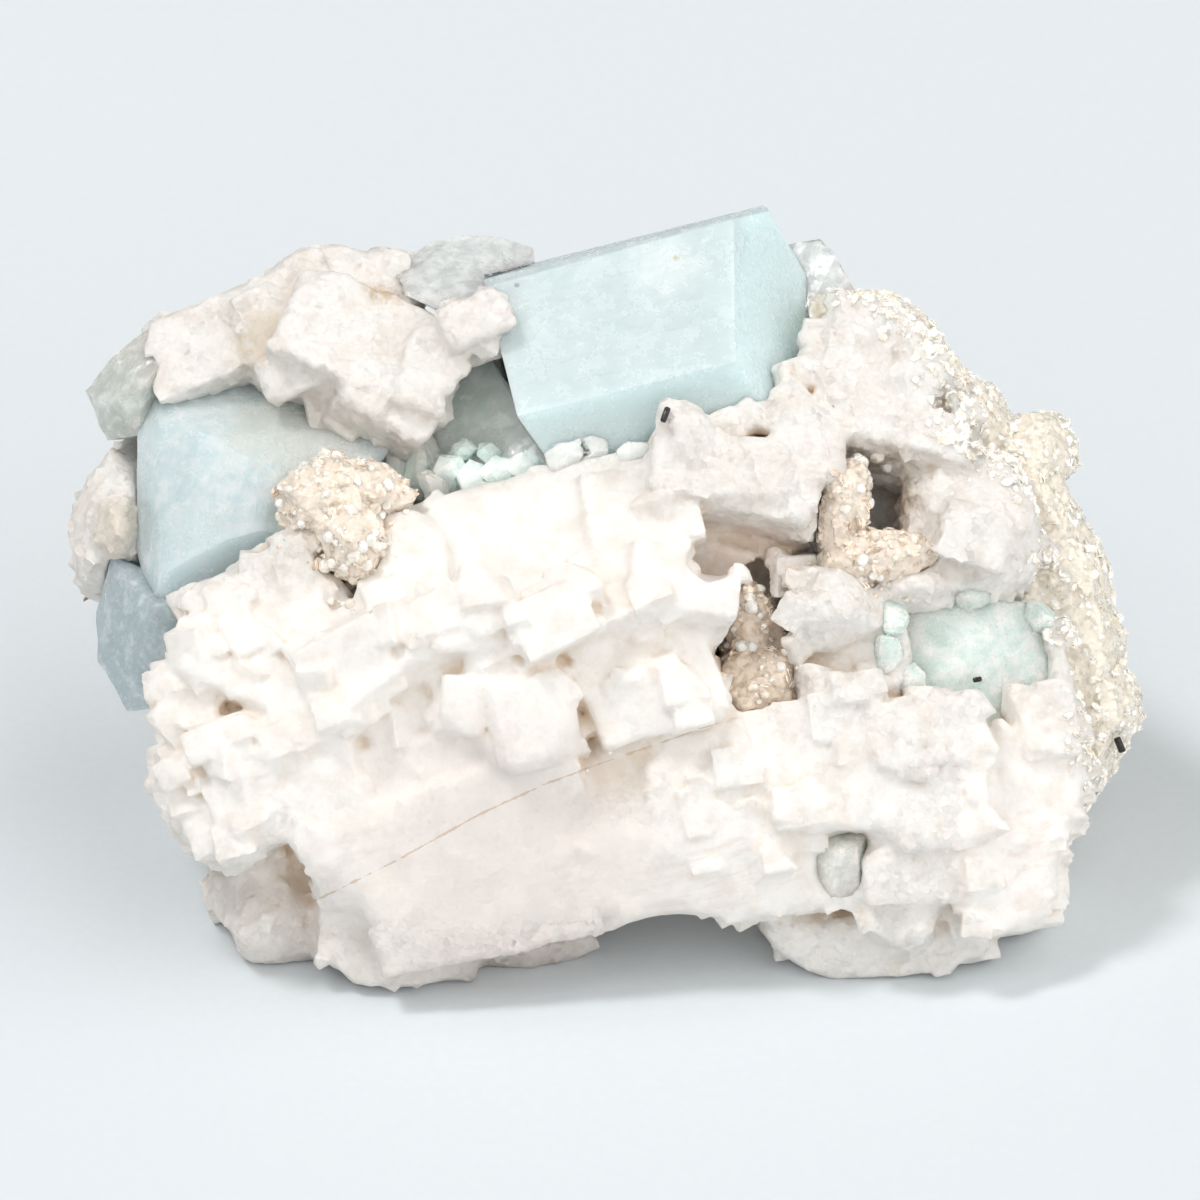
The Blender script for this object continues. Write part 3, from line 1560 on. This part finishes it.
    def wear_smooth(self, rock: bpy.types.Object) -> None:
        """Wears down the block edges where the rock is one smooth sweep.

        Args:
            rock: The rock.
        """
        self.gather(rock, "worn", self.worn_share(self.skin(rock)))
        modifier = rock.modifiers.new("wear", "SMOOTH")
        modifier.vertex_group = "worn"
        modifier.iterations = self.wear
        apply_modifiers(rock)

    def level_base(self, rock: bpy.types.Object) -> None:
        """Presses what reaches under the ground flat against it.

        Args:
            rock: The rock.
        """
        pick(rock)
        low = np.empty(len(rock.data.vertices) * 3, np.float32)
        rock.data.vertices.foreach_get("co", low)
        bpy.ops.object.mode_set(mode="EDIT")
        bpy.ops.mesh.select_all(action="DESELECT")
        bpy.ops.object.mode_set(mode="OBJECT")
        rock.data.vertices.foreach_set("select", low.reshape(-1, 3)[:, 2] < self.ground * MM)
        bpy.ops.object.mode_set(mode="EDIT")
        bpy.ops.transform.resize(value=(1.0, 1.0, 0.0), center_override=(0.0, 0.0, self.ground * MM))
        bpy.ops.object.mode_set(mode="OBJECT")


@dataclass(frozen=True)
class Crystal:
    """One beryl or quartz crystal that takes the place of its node.

    Attributes:
        node: The CAD node, whose name the piece's own name follows.
        name: The piece's name.
        finish: What it looks like.
        depth: How often its longest side is halved to make its skin's faces.
        reliefs: The growth marks on its skin.
        most: Its greatest number of triangles.
        fill: How far it swells to meet the rock round its seat, in millimetres.
        cuts: The broken faces, each a point and the way that it faces, on the display face.
    """

    node: str
    name: str
    finish: BerylFinish
    depth: int = 7
    reliefs: tuple[Relief, ...] = (Relief(Grit.SWELLS, 2.5, 0.16, depth=2),)
    most: int = 40_000
    fill: float = 0.45
    cuts: tuple[tuple[Triple, Triple], ...] = ()

    def build(self) -> bpy.types.Object:
        """Builds the piece in the place of its node.

        Returns:
            The piece.
        """
        piece = take_node(self.node, self.name)
        swell(piece, self.fill)
        self.cut(piece)
        remesh_crisp(piece, self.depth)
        for relief in self.reliefs:
            relief.press(piece)
        thin_out(piece, self.most)
        shade(piece, 28.0)
        piece.data.materials.append(self.finish.material())
        return hand_over(piece, self.node)

    def cut(self, piece: bpy.types.Object) -> None:
        """Breaks the crystal along its cuts.

        Args:
            piece: The crystal.
        """
        pick(piece)
        bpy.ops.object.mode_set(mode="EDIT")
        for point, way in self.cuts:
            bpy.ops.mesh.select_all(action="SELECT")
            bpy.ops.mesh.bisect(plane_co=on_face(point), use_fill=True, clear_outer=True,
                                plane_no=FACE @ Vector(way))
        bpy.ops.object.mode_set(mode="OBJECT")


CLEAR_BERYL = BerylFinish(
    "beryl_clear", (209, 225, 226), (217, 231, 232), (0.26, 0.74), 0.15, (206, 234, 238), 8.0,
    (0.0, 0.0, 14.0), 0.02, (0.2, 0.4), (
        Side((11.6, 26.0, 2.0), (1.0, -0.05, 0.0), 1.6, (232, 254, 255), 0.95),
        Side((-6.9, 15.6, 0.0), (0.2126, -0.977, 0.0), 1.2, (224, 246, 247), 0.8),
        Stain((5.8, 27.5, 2.0), 3.4, (240, 250, 249), 0.6, 1.4),
        Stain((-0.5, 18.0, 3.0), 3.2, (236, 248, 248), 0.4, 1.6),
        Stain((17.0, 24.0, 0.0), 3.0, (236, 246, 244), 0.5, 1.0),
        Stain((6.3, 28.5, 2.4), 0.34, (206, 188, 128), 0.8, 0.3),
        Stain((5.4, 25.0, 2.8), 0.30, (206, 188, 128), 0.8, 0.3),
        Stain((14.8, 24.2, 1.4), 0.30, (206, 188, 128), 0.8, 0.3),
        Stain((-6.9, 26.2, 1.8), 0.30, (150, 156, 152), 0.8, 0.3),
        Side((-9.17, 26.15, 0.0), (-0.264, 0.9645, 0.0), 0.2, (166, 178, 180), 0.6),
    ))
ETCHED_BERYL = BerylFinish(
    "beryl_etched", (206, 224, 227), (230, 238, 238), (0.36, 0.7), 0.12, (200, 230, 233), 8.0,
    (0.0, 0.0, 80.0), 0.06, (0.14, 0.4), (
        Stain((-25.0, 15.0, 2.0), 7.5, (216, 221, 215), 0.85, 2.2),
        Stain((-25.0, 6.5, 4.0), 3.4, (206, 216, 210), 0.7, 1.4),
        Stain((-33.5, 5.0, 3.0), 3.6, (214, 230, 232), 0.8, 1.2),
        Stain((-37.0, 6.0, 0.0), 3.0, (196, 212, 214), 0.6, 1.2),
        Side((-33.06, 3.9, 3.1), (0.1, -0.55, 0.8), 0.3, (222, 240, 244), 0.8),
    ))
SMOKY_BERYL = BerylFinish(
    "beryl_smoky", (220, 234, 228), (246, 250, 247), (0.42, 0.68), 0.1, (200, 220, 214), 12.0,
    (20.0, 30.0, 40.0), 0.06, (0.1, 0.3), (
        Stain((-8.0, 13.0, 0.0), 4.0, (232, 238, 234), 0.7, 1.6),
    ))
BLUE_BERYL = BerylFinish("beryl_blue_grey", (174, 188, 193), (210, 219, 222), (0.45, 0.7), 0.15,
                         (200, 218, 222), 12.0, (20.0, 30.0, 40.0), 0.05, (0.1, 0.3))
GREY_BERYL = BerylFinish("beryl_grey", (204, 209, 208), (236, 239, 237), (0.38, 0.66), 0.12,
                         (214, 224, 224), 10.0, (0.0, 40.0, 30.0), 0.1, (0.1, 0.35))
TIP_BERYL = BerylFinish("beryl_tip_grey", (196, 199, 193), (228, 229, 224), (0.42, 0.68), 0.12,
                        (220, 226, 222), 10.0, (30.0, 0.0, 60.0), 0.06, (0.12, 0.35))
PALE_BERYL = BerylFinish("beryl_pale", (218, 236, 230), (248, 251, 247), (0.4, 0.66), 0.15,
                         (210, 232, 226), 10.0, (0.0, 0.0, 20.0), 0.1, (0.2, 0.5))
FOOT_BERYL = BerylFinish("beryl_foot_green", (218, 221, 211), (248, 248, 243), (0.36, 0.7), 0.08,
                         (220, 228, 214), 8.0, (0.0, 0.0, 90.0), 0.08, (0.15, 0.4))
SMOKY_SHARDS = BerylFinish("beryl_brown_grey", (238, 240, 233), (253, 253, 249), (0.42, 0.68), 0.1,
                           (222, 222, 214), 12.0, (30.0, 0.0, 60.0), 0.04, (0.1, 0.3))
FROSTED_SHARDS = BerylFinish("beryl_frosted", (237, 245, 241), (253, 255, 253), (0.4, 0.66), 0.05,
                             (216, 228, 224), 12.0, (30.0, 0.0, 60.0), 0.08, (0.15, 0.4))

SHARD_MARKS = (Relief(Grit.CRACKLE, 3.5, 0.3), Relief(Grit.SWELLS, 1.2, 0.14, depth=2))


@dataclass
class Crystals:
    """Every beryl and quartz crystal."""

    crystals: tuple[Crystal, ...] = (
        Crystal("aquamarine_main", "aquamarine_prism", CLEAR_BERYL, 8, (
            Relief(Grit.SWELLS, 4.0, 0.08, depth=2),
        ), 90_000, 0.25),
        Crystal("aquamarine_left", "aquamarine_etched", ETCHED_BERYL, 7, (
            Relief(Grit.SWELLS, 3.0, 0.12, depth=2),
            Relief(Grit.CRACKLE, 2.4, 0.07, (0.0, 0.0, 10.0)),
        ), 70_000, cuts=(
            ((-37.5, 15.0, 0.5), (-40.8, -5.5, 82.8)),
            ((-33.0, 4.0, 3.7), (0.1, -0.55, 0.8)),
            ((-30.0, 16.4, 2.3), (0.15, 0.5, 0.8)),
        )),
        Crystal("aquamarine_lower_left", "aquamarine_chunk", BLUE_BERYL, 7, SHARD_MARKS),
        Crystal("beryl_shard_left", "beryl_tip", TIP_BERYL, 7, SHARD_MARKS),
        Crystal("quartz_upper_left", "quartz_mass", GREY_BERYL, 7, SHARD_MARKS),
        Crystal("aquamarine_rear_right", "beryl_rear", GREY_BERYL, 7, SHARD_MARKS),
        Crystal("aquamarine_recess", "beryl_wedge", SMOKY_BERYL, 7, SHARD_MARKS),
        Crystal("aquamarine_right", "beryl_patch", PALE_BERYL, 7, SHARD_MARKS),
        Crystal("beryl_foot", "beryl_sprig", FOOT_BERYL, 6, fill=0.8),
    )

    def build(self) -> None:
        """Builds every crystal."""
        for crystal in self.crystals:
            crystal.build()


@dataclass(frozen=True)
class Shard:
    """A small broken prism: its middle on the display face, size and turn."""

    at: Triple
    size: Triple
    turn: Triple
    point: float = 0.5

    def build(self, name: str) -> bpy.types.Object:
        """Models the shard, with a slanting broken end.

        Args:
            name: The shard's name.

        Returns:
            The shard.
        """
        bpy.ops.object.select_all(action="DESELECT")
        bpy.ops.mesh.primitive_cylinder_add(vertices=6, radius=0.5, depth=1.0,
                                            end_fill_type="NGON")
        shard = bpy.context.object
        shard.name = name
        bpy.ops.object.mode_set(mode="EDIT")
        for way in ((self.point, 0.2, 1.0), (-0.6, self.point, 0.9), (0.3, -0.8, -0.7)):
            bpy.ops.mesh.select_all(action="SELECT")
            bpy.ops.mesh.bisect(plane_co=[0.34 * part for part in way], plane_no=way,
                                use_fill=True, clear_outer=True)
        bpy.ops.object.mode_set(mode="OBJECT")
        shard.scale = [side * MM for side in self.size]
        settle(shard)
        shard.matrix_world = Matrix.Translation(on_face(self.at)) @ face_turn(self.turn)
        return settle(shard)


@dataclass
class Shards:
    """The small broken prisms that fill the gaps between the large crystals."""

    smoky: tuple[Shard, ...] = (
        Shard((-16.9, 11.6, -1.0), (2.4, 2.2, 5.4), (-70, 10, 12)),
        Shard((-15.3, 10.6, -0.4), (2.2, 2.0, 5.0), (-60, -14, -20), 0.8),
        Shard((-14.4, 12.0, -2.0), (2.6, 2.4, 5.4), (-80, 20, 30), 0.3),
        Shard((-17.6, 9.4, 1.6), (1.8, 2.0, 4.2), (-40, 24, 60), 0.7),
        Shard((-13.6, 9.0, 1.4), (2.4, 2.0, 4.4), (-66, -24, 10), 0.6),
    )
    frosted: tuple[Shard, ...] = (
        Shard((-12.4, 10.6, 0.6), (3.2, 2.4, 4.0), (-50, 10, 40), 0.7),
        Shard((-10.4, 9.9, 1.6), (3.4, 2.6, 4.2), (-64, 24, 80), 0.4),
        Shard((-8.2, 10.4, 2.0), (3.0, 2.4, 3.8), (-40, -20, 20), 0.8),
        Shard((-6.2, 11.0, 3.0), (2.8, 2.2, 3.6), (-70, 12, 60), 0.5),
        Shard((-11.4, 12.4, -0.6), (2.4, 1.8, 3.0), (-30, 30, 10), 0.6),
        Shard((-9.2, 12.2, 0.0), (2.0, 1.8, 2.8), (-60, 0, 50), 0.5),
        Shard((-2.6, 12.0, 4.6), (4.6, 2.0, 2.6), (-84, 4, 16), 0.3),
        Shard((-0.6, 12.5, 4.4), (3.0, 1.8, 2.4), (-80, 10, 10), 0.6),
        Shard((2.8, 12.2, 4.8), (3.4, 2.0, 2.6), (-70, 6, 14), 0.4),
        Shard((19.2, 15.6, 2.6), (3.0, 3.6, 3.0), (-60, 10, 30), 0.5),
        Shard((20.4, 17.6, 1.4), (2.4, 2.8, 2.6), (-50, 30, 20), 0.6),
    )
    pale: tuple[Shard, ...] = (
        Shard((24.2, -1.6, 6.0), (3.0, 3.4, 3.6), (-20, 10, 30), 0.6),
        Shard((23.8, -4.2, 6.2), (3.4, 3.2, 3.4), (14, -20, 10), 0.4),
        Shard((25.4, -6.4, 5.6), (3.0, 2.6, 3.2), (30, 10, 50), 0.7),
        Shard((26.8, 0.4, 4.6), (3.2, 2.4, 2.8), (-30, 20, 20), 0.5),
        Shard((31.0, 0.2, 3.4), (3.6, 2.4, 3.0), (-40, 0, 12), 0.6),
        Shard((36.4, -1.4, 1.0), (2.6, 3.0, 3.0), (-10, 30, 40), 0.5),
    )

    def group(self, shards: Sequence[Shard], name: str, finish: BerylFinish) -> None:
        """Builds one joined piece of shards, with etched skins.

        Args:
            shards: The shards.
            name: The piece's name.
            finish: What it looks like.
        """
        piece = join([shard.build(f"{name}_{i}") for i, shard in enumerate(shards)], name)
        remesh_crisp(piece, 8)
        Relief(Grit.CRACKLE, 1.2, 0.2).press(piece)
        Relief(Grit.SWELLS, 0.8, 0.12, depth=2).press(piece)
        thin_out(piece, 30_000)
        shade(piece, 30.0)
        piece.data.materials.append(finish.material())
        hand_over(piece)

    def build(self) -> None:
        """Builds every group."""
        self.group(self.smoky, "beryl_smoky_prisms", SMOKY_SHARDS)
        self.group(self.frosted, "beryl_frosted_grains", FROSTED_SHARDS)
        self.group(self.pale, "beryl_pale_grains", PALE_BERYL)


@dataclass(frozen=True)
class Sprinkle:
    """A patch of mica flakes: its middle on the display face, its reach and how many."""

    at: Triple
    reach: float
    count: int

    def accepts(self, places: np.ndarray, normals: np.ndarray) -> np.ndarray:
        """Tells which places lie in the patch and don't face away.

        Args:
            places: Rows of X, Y and Z on the display face.
            normals: The way that the surface faces at each, as rows on the display face.

        Returns:
            Whether each may be used.
        """
        near = np.linalg.norm(places - np.array(self.at), axis=1) < self.reach
        return near & (normals[:, 2] > -0.5)


@dataclass(frozen=True)
class Border:
    """The inner border of the crust: X on the display face at falling Y, and how ragged it is."""

    x: tuple[float, ...] = (19.0, 22.5, 25.0, 28.3, 27.5, 32.1, 37.1, 36.3, 37.5, 40.4, 39.6, 40.3)
    y: tuple[float, ...] = (25.2, 24.2, 21.7, 19.2, 13.3, 10.8, 6.7, 1.7, -3.3, -5.0, -10.0, -15.8)
    ragged: float = 0.8

    def accepts(self, places: np.ndarray, normals: np.ndarray) -> np.ndarray:
        """Tells which places lie outside the border, towards the flank.

        Args:
            places: Rows of X, Y and Z on the display face.
            normals: The way that the surface faces at each, as rows on the display face.

        Returns:
            Whether each may be used.
        """
        border = np.interp(-places[:, 1], [-y for y in self.y], self.x)
        stray = np.random.default_rng(7).normal(0.0, self.ragged, len(places))
        level = (places[:, 1] > self.y[-1]) & (places[:, 1] < self.y[0] + 2.0)
        return level & (places[:, 0] > border + stray) & (normals[:, 2] > -0.9)


@dataclass
class Mica:
    """The silver crust of the right flank, and the tan tufts in the hollows."""

    border: Border = Border()
    silver: MicaFinish = MicaFinish("mica_silver")
    tan: MicaFinish = MicaFinish("mica_tan", (253, 246, 235), (246, 231, 214), (226, 203, 178))
    cream: MicaFinish = MicaFinish("mica_cream", (255, 254, 249), (252, 247, 238), (238, 226, 208))
    crust_books: int = 3000
    border_books: int = 1900
    tuft_books: int = 420
    size: tuple[float, float] = (0.35, 1.2)
    fill: float = 0.5
    sprinkles: tuple[Sprinkle, ...] = (
        Sprinkle((19.8, 8.0, 4.5), 4.0, 120), Sprinkle((23.0, 3.6, 5.0), 4.6, 130),
        Sprinkle((23.0, 13.0, 2.0), 3.6, 70), Sprinkle((27.0, 21.5, -2.0), 4.0, 60),
        Sprinkle((31.0, 15.5, -4.0), 4.4, 90), Sprinkle((-22.0, 6.5, 6.5), 6.0, 150),
        Sprinkle((11.5, -5.5, 4.0), 5.5, 130), Sprinkle((0.6, -14.0, 7.0), 3.6, 60),
        Sprinkle((36.0, 3.0, -3.0), 4.0, 60), Sprinkle((37.0, -6.0, -3.0), 4.0, 60),
    )
    nugget_patches: tuple[Sprinkle, ...] = (
        Sprinkle((-21.5, 7.0, 7.0), 6.0, 90), Sprinkle((-20.5, 2.5, 9.0), 4.4, 80),
        Sprinkle((12.5, -4.5, 5.5), 5.5, 45), Sprinkle((21.5, 5.5, 5.0), 5.0, 45),
        Sprinkle((23.0, 13.0, 3.0), 4.0, 20), Sprinkle((0.6, -14.0, 9.0), 3.6, 20),
    )
    tufts: list[bpy.types.Object] = field(default_factory=list)

    def patterns(self) -> list[bpy.types.Object]:
        """Models the stacks of leaves that are copied.

        Returns:
            The patterns.
        """
        maker = Chips()
        return [maker.flake_book("book_thin", 2, "thin"), maker.flake_book("book_thick", 4, "thick"),
                maker.flake_book("book_fan", 3, "fan")]

    def lay_books(self, spots: list[Spot], seed: str, size: tuple[float, float],
                  tilt: float) -> list[Matrix]:
        """Lays a stack at each spot, tilted off the surface.

        Args:
            spots: The spots.
            seed: The word that sizes and turns grow from.
            size: The smallest and largest stack, in millimetres.
            tilt: How far a stack strays from the surface.

        Returns:
            A matrix for each stack.
        """
        chooser = random.Random(seed)
        matrices = []
        for spot in spots:
            lean = Vector([chooser.gauss(0.0, tilt) for _ in range(3)])
            outward = (spot.outward + lean).normalized()
            across = size[0] + (size[1] - size[0]) * chooser.random() ** 2.0
            turn = facing(outward, chooser.uniform(0.0, math.tau))
            at = spot.at - spot.outward * (0.12 * across * MM)
            matrices.append(Matrix.Translation(at) @ turn @ Matrix.Scale(across * MM, 4))
        return matrices

    def bed(self, node: str, name: str, finish: MicaFinish) -> bpy.types.Object:
        """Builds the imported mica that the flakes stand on, in the place of its node.

        Args:
            node: The CAD node.
            name: The piece's name.
            finish: What it looks like.

        Returns:
            The piece.
        """
        bed = take_node(node, name)
        swell(bed, self.fill)
        remesh(bed, 0.3)
        Relief(Grit.STEPS, 1.3, 0.5, (10.0, 40.0, 20.0)).press(bed)
        Relief(Grit.CHIPS, 0.9, 0.35, depth=1).press(bed)
        thin_out(bed, 60_000)
        shade(bed, 40.0)
        tint_islands(bed, name)
        bed.data.materials.append(finish.material())
        return hand_over(bed, node)

    def flakes(self, spots: list[Spot], name: str, finish: MicaFinish, tilt: float) -> None:
        """Builds one joined piece of flakes.

        Args:
            spots: Where they stand.
            name: The piece's name.
            finish: What it looks like.
            tilt: How far a flake strays from the surface.
        """
        patterns = self.patterns()
        piece = sow(patterns, self.lay_books(spots, name, self.size, tilt), name, name)
        discard(patterns)
        tint_islands(piece, name)
        piece.data.materials.append(finish.material())
        hand_over(piece)

    def nuggets(self, rock: bpy.types.Object) -> None:
        """Builds the cream grains that lie in and round the tufts.

        Args:
            rock: The rock that the tufts stand in.
        """
        maker = Chips()
        patterns = [maker.nugget(f"nugget_{i}", f"nugget {i}") for i in range(4)]
        chooser = random.Random("nuggets")
        matrices = []
        for patch in self.nugget_patches:
            for host in (rock, *self.tufts):
                for spot in spots_on(host, patch.count, f"{host.name} {patch.at}", patch.accepts):
                    size = 0.35 + 1.0 * chooser.random() ** 2.0
                    turn = facing(Vector([chooser.gauss(0.0, 1.0) for _ in range(3)]), 0.0)
                    matrices.append(Matrix.Translation(spot.at) @ turn @ Matrix.Scale(size * MM, 4))
        piece = sow(patterns, matrices, "nuggets", "mica_nuggets")
        discard(patterns)
        tint_islands(piece, "nuggets")
        piece.data.materials.append(self.cream.material())
        hand_over(piece)

    def clear_spots(self, spots: list[Spot], away: BVHTree) -> list[Spot]:
        """Leaves out the spots that face the rock across a seat.

        Args:
            spots: The spots.
            away: The surface to stay clear of.

        Returns:
            The spots that are left.
        """
        return [spot for spot in spots
                if spot.at.z > 1.0 * MM and away.find_nearest(spot.at, 0.7 * MM)[0] is None]

    def build(self, rock: bpy.types.Object) -> None:
        """Builds the crust, the tufts and the flakes on the rock beside them.

        Args:
            rock: The rock.
        """
        rock_node = node_surfaces(["feldspar_matrix"])
        crust = self.bed("muscovite_crust", "mica_crust", self.silver)
        spots = spots_on(crust, self.crust_books, "crust", anywhere)
        self.flakes(self.clear_spots(spots, rock_node), "mica_crust_flakes", self.silver, 0.42)
        for node in ("mica_cluster_left", "mica_cavity_centre", "mica_pocket_right"):
            tuft = self.bed(node, node.replace("mica_", "tuft_"), self.tan)
            self.tufts.append(tuft)
            books = self.tuft_books // (3 if node == "mica_cluster_left" else 1)
            spots = self.clear_spots(spots_on(tuft, books, node, anywhere), rock_node)
            self.flakes(spots, f"{tuft.name}_flakes", self.tan, 0.5)
        spots = spots_on(rock, self.border_books, "border", self.border.accepts)
        self.flakes(spots, "mica_border_flakes", self.silver, 0.5)
        strewn = [spot for i, patch in enumerate(self.sprinkles)
                  for spot in spots_on(rock, patch.count, f"patch {i}", patch.accepts)]
        self.flakes(strewn, "mica_strewn", self.tan, 0.6)
        self.nuggets(rock)


@dataclass
class Schorl:
    """The grains of black tourmaline."""

    nodes: tuple[str, ...] = ("tourmaline_grain_edge", "tourmaline_grain_spur",
                              "tourmaline_grain_face")

    def build(self) -> None:
        """Builds each grain in the place of its node."""
        for node in self.nodes:
            grain = take_node(node, node.replace("tourmaline_", "schorl_"))
            swell(grain, -0.12)
            soften_edges(grain, 0.16, 3)
            shade(grain, 50.0)
            grain.data.materials.append(SchorlFinish().material())
            hand_over(grain, node)


@dataclass
class Studio:
    """The floor, the lights and the camera."""

    frame_width: float = 100.0
    lens: float = 400.0
    sensor: float = 36.0

    def floor(self) -> None:
        """Lays the pale floor."""
        bpy.ops.object.select_all(action="DESELECT")
        bpy.ops.mesh.primitive_plane_add(size=30.0)
        floor = bpy.context.object
        floor.name = "studio_floor"
        made, graph, shader = new_material("floor_paper")
        fine = graph.spread(graph.noise(1.0, 3.0), 0.3, 0.7)
        graph.feed(shader, "Base Color", graph.blend(fine, rgba((218, 224, 228)), rgba((220, 226, 229))))
        shader.inputs["Roughness"].default_value = 0.9
        shader.inputs["Specular IOR Level"].default_value = 0.1
        floor.data.materials.append(made)

    def sun(self, name: str, way: Triple, strength: float, spread: float) -> None:
        """Adds a broad light that shines from a direction.

        Args:
            name: The light's name.
            way: Where it shines from.
            strength: Its strength.
            spread: How wide it looks, in degrees.
        """
        light = bpy.data.lights.new(name, "SUN")
        light.energy, light.angle = strength, math.radians(spread)
        holder = bpy.data.objects.new(name, light)
        holder.rotation_euler = Vector(way).to_track_quat("Z", "Y").to_euler()
        bpy.context.scene.collection.objects.link(holder)

    def panel(self, name: str, at: Triple, size: float, power: float) -> None:
        """Adds a square soft panel that faces the specimen.

        Args:
            name: The panel's name.
            at: Its place, in metres.
            size: Its side, in metres.
            power: Its power, in watts.
        """
        light = bpy.data.lights.new(name, "AREA")
        light.shape, light.size, light.energy = "SQUARE", size, power
        holder = bpy.data.objects.new(name, light)
        holder.location = at
        holder.rotation_euler = (Vector(at) - on_face((0, 0, 0))).to_track_quat("Z", "Y").to_euler()
        bpy.context.scene.collection.objects.link(holder)

    def sky(self, strength: float) -> None:
        """Sets the even light from all round.

        Args:
            strength: Its strength.
        """
        world = bpy.data.worlds.new("studio_sky")
        world.use_nodes = True
        back = world.node_tree.nodes["Background"]
        back.inputs["Color"].default_value = rgba((250, 248, 245))
        back.inputs["Strength"].default_value = strength
        bpy.context.scene.world = world

    def camera(self) -> None:
        """Aims the camera square at the display face."""
        camera = bpy.data.cameras.new("camera")
        camera.lens, camera.sensor_width = self.lens, self.sensor
        away = self.frame_width * MM * self.lens / self.sensor
        holder = bpy.data.objects.new("camera", camera)
        holder.location = on_face((0.0, 0.0, away / MM))
        holder.rotation_euler = (math.pi / 2 - LEAN, 0.0, 0.0)
        camera.clip_start, camera.clip_end = 0.05, 60.0
        bpy.context.scene.collection.objects.link(holder)
        bpy.context.scene.camera = holder

    def build(self) -> None:
        """Sets up the floor, lights and camera."""
        self.floor()
        self.sky(0.38)
        self.sun("key", (-0.42, -0.05, 0.9), 1.22, 14.0)
        self.sun("fill", (0.7, -0.3, 0.65), 1.55, 80.0)
        self.sun("front", (-0.1, -0.93, 0.35), 0.5, 60.0)
        self.panel("window", (-0.35, -0.35, 0.6), 0.35, 0.6)
        self.camera()
        bpy.context.scene.view_settings.view_transform = "Standard"
        bpy.context.scene.view_settings.look = "None"


def main() -> None:
    """Builds the specimen in order, and keeps both boxes."""
    logging.basicConfig(level=logging.INFO, format="%(message)s")
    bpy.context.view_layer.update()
    rock = Feldspar().build()
    Crystals().build()
    Shards().build()
    Mica().build(rock)
    Schorl().build()
    Studio().build()


if __name__ == "__main__":
    main()
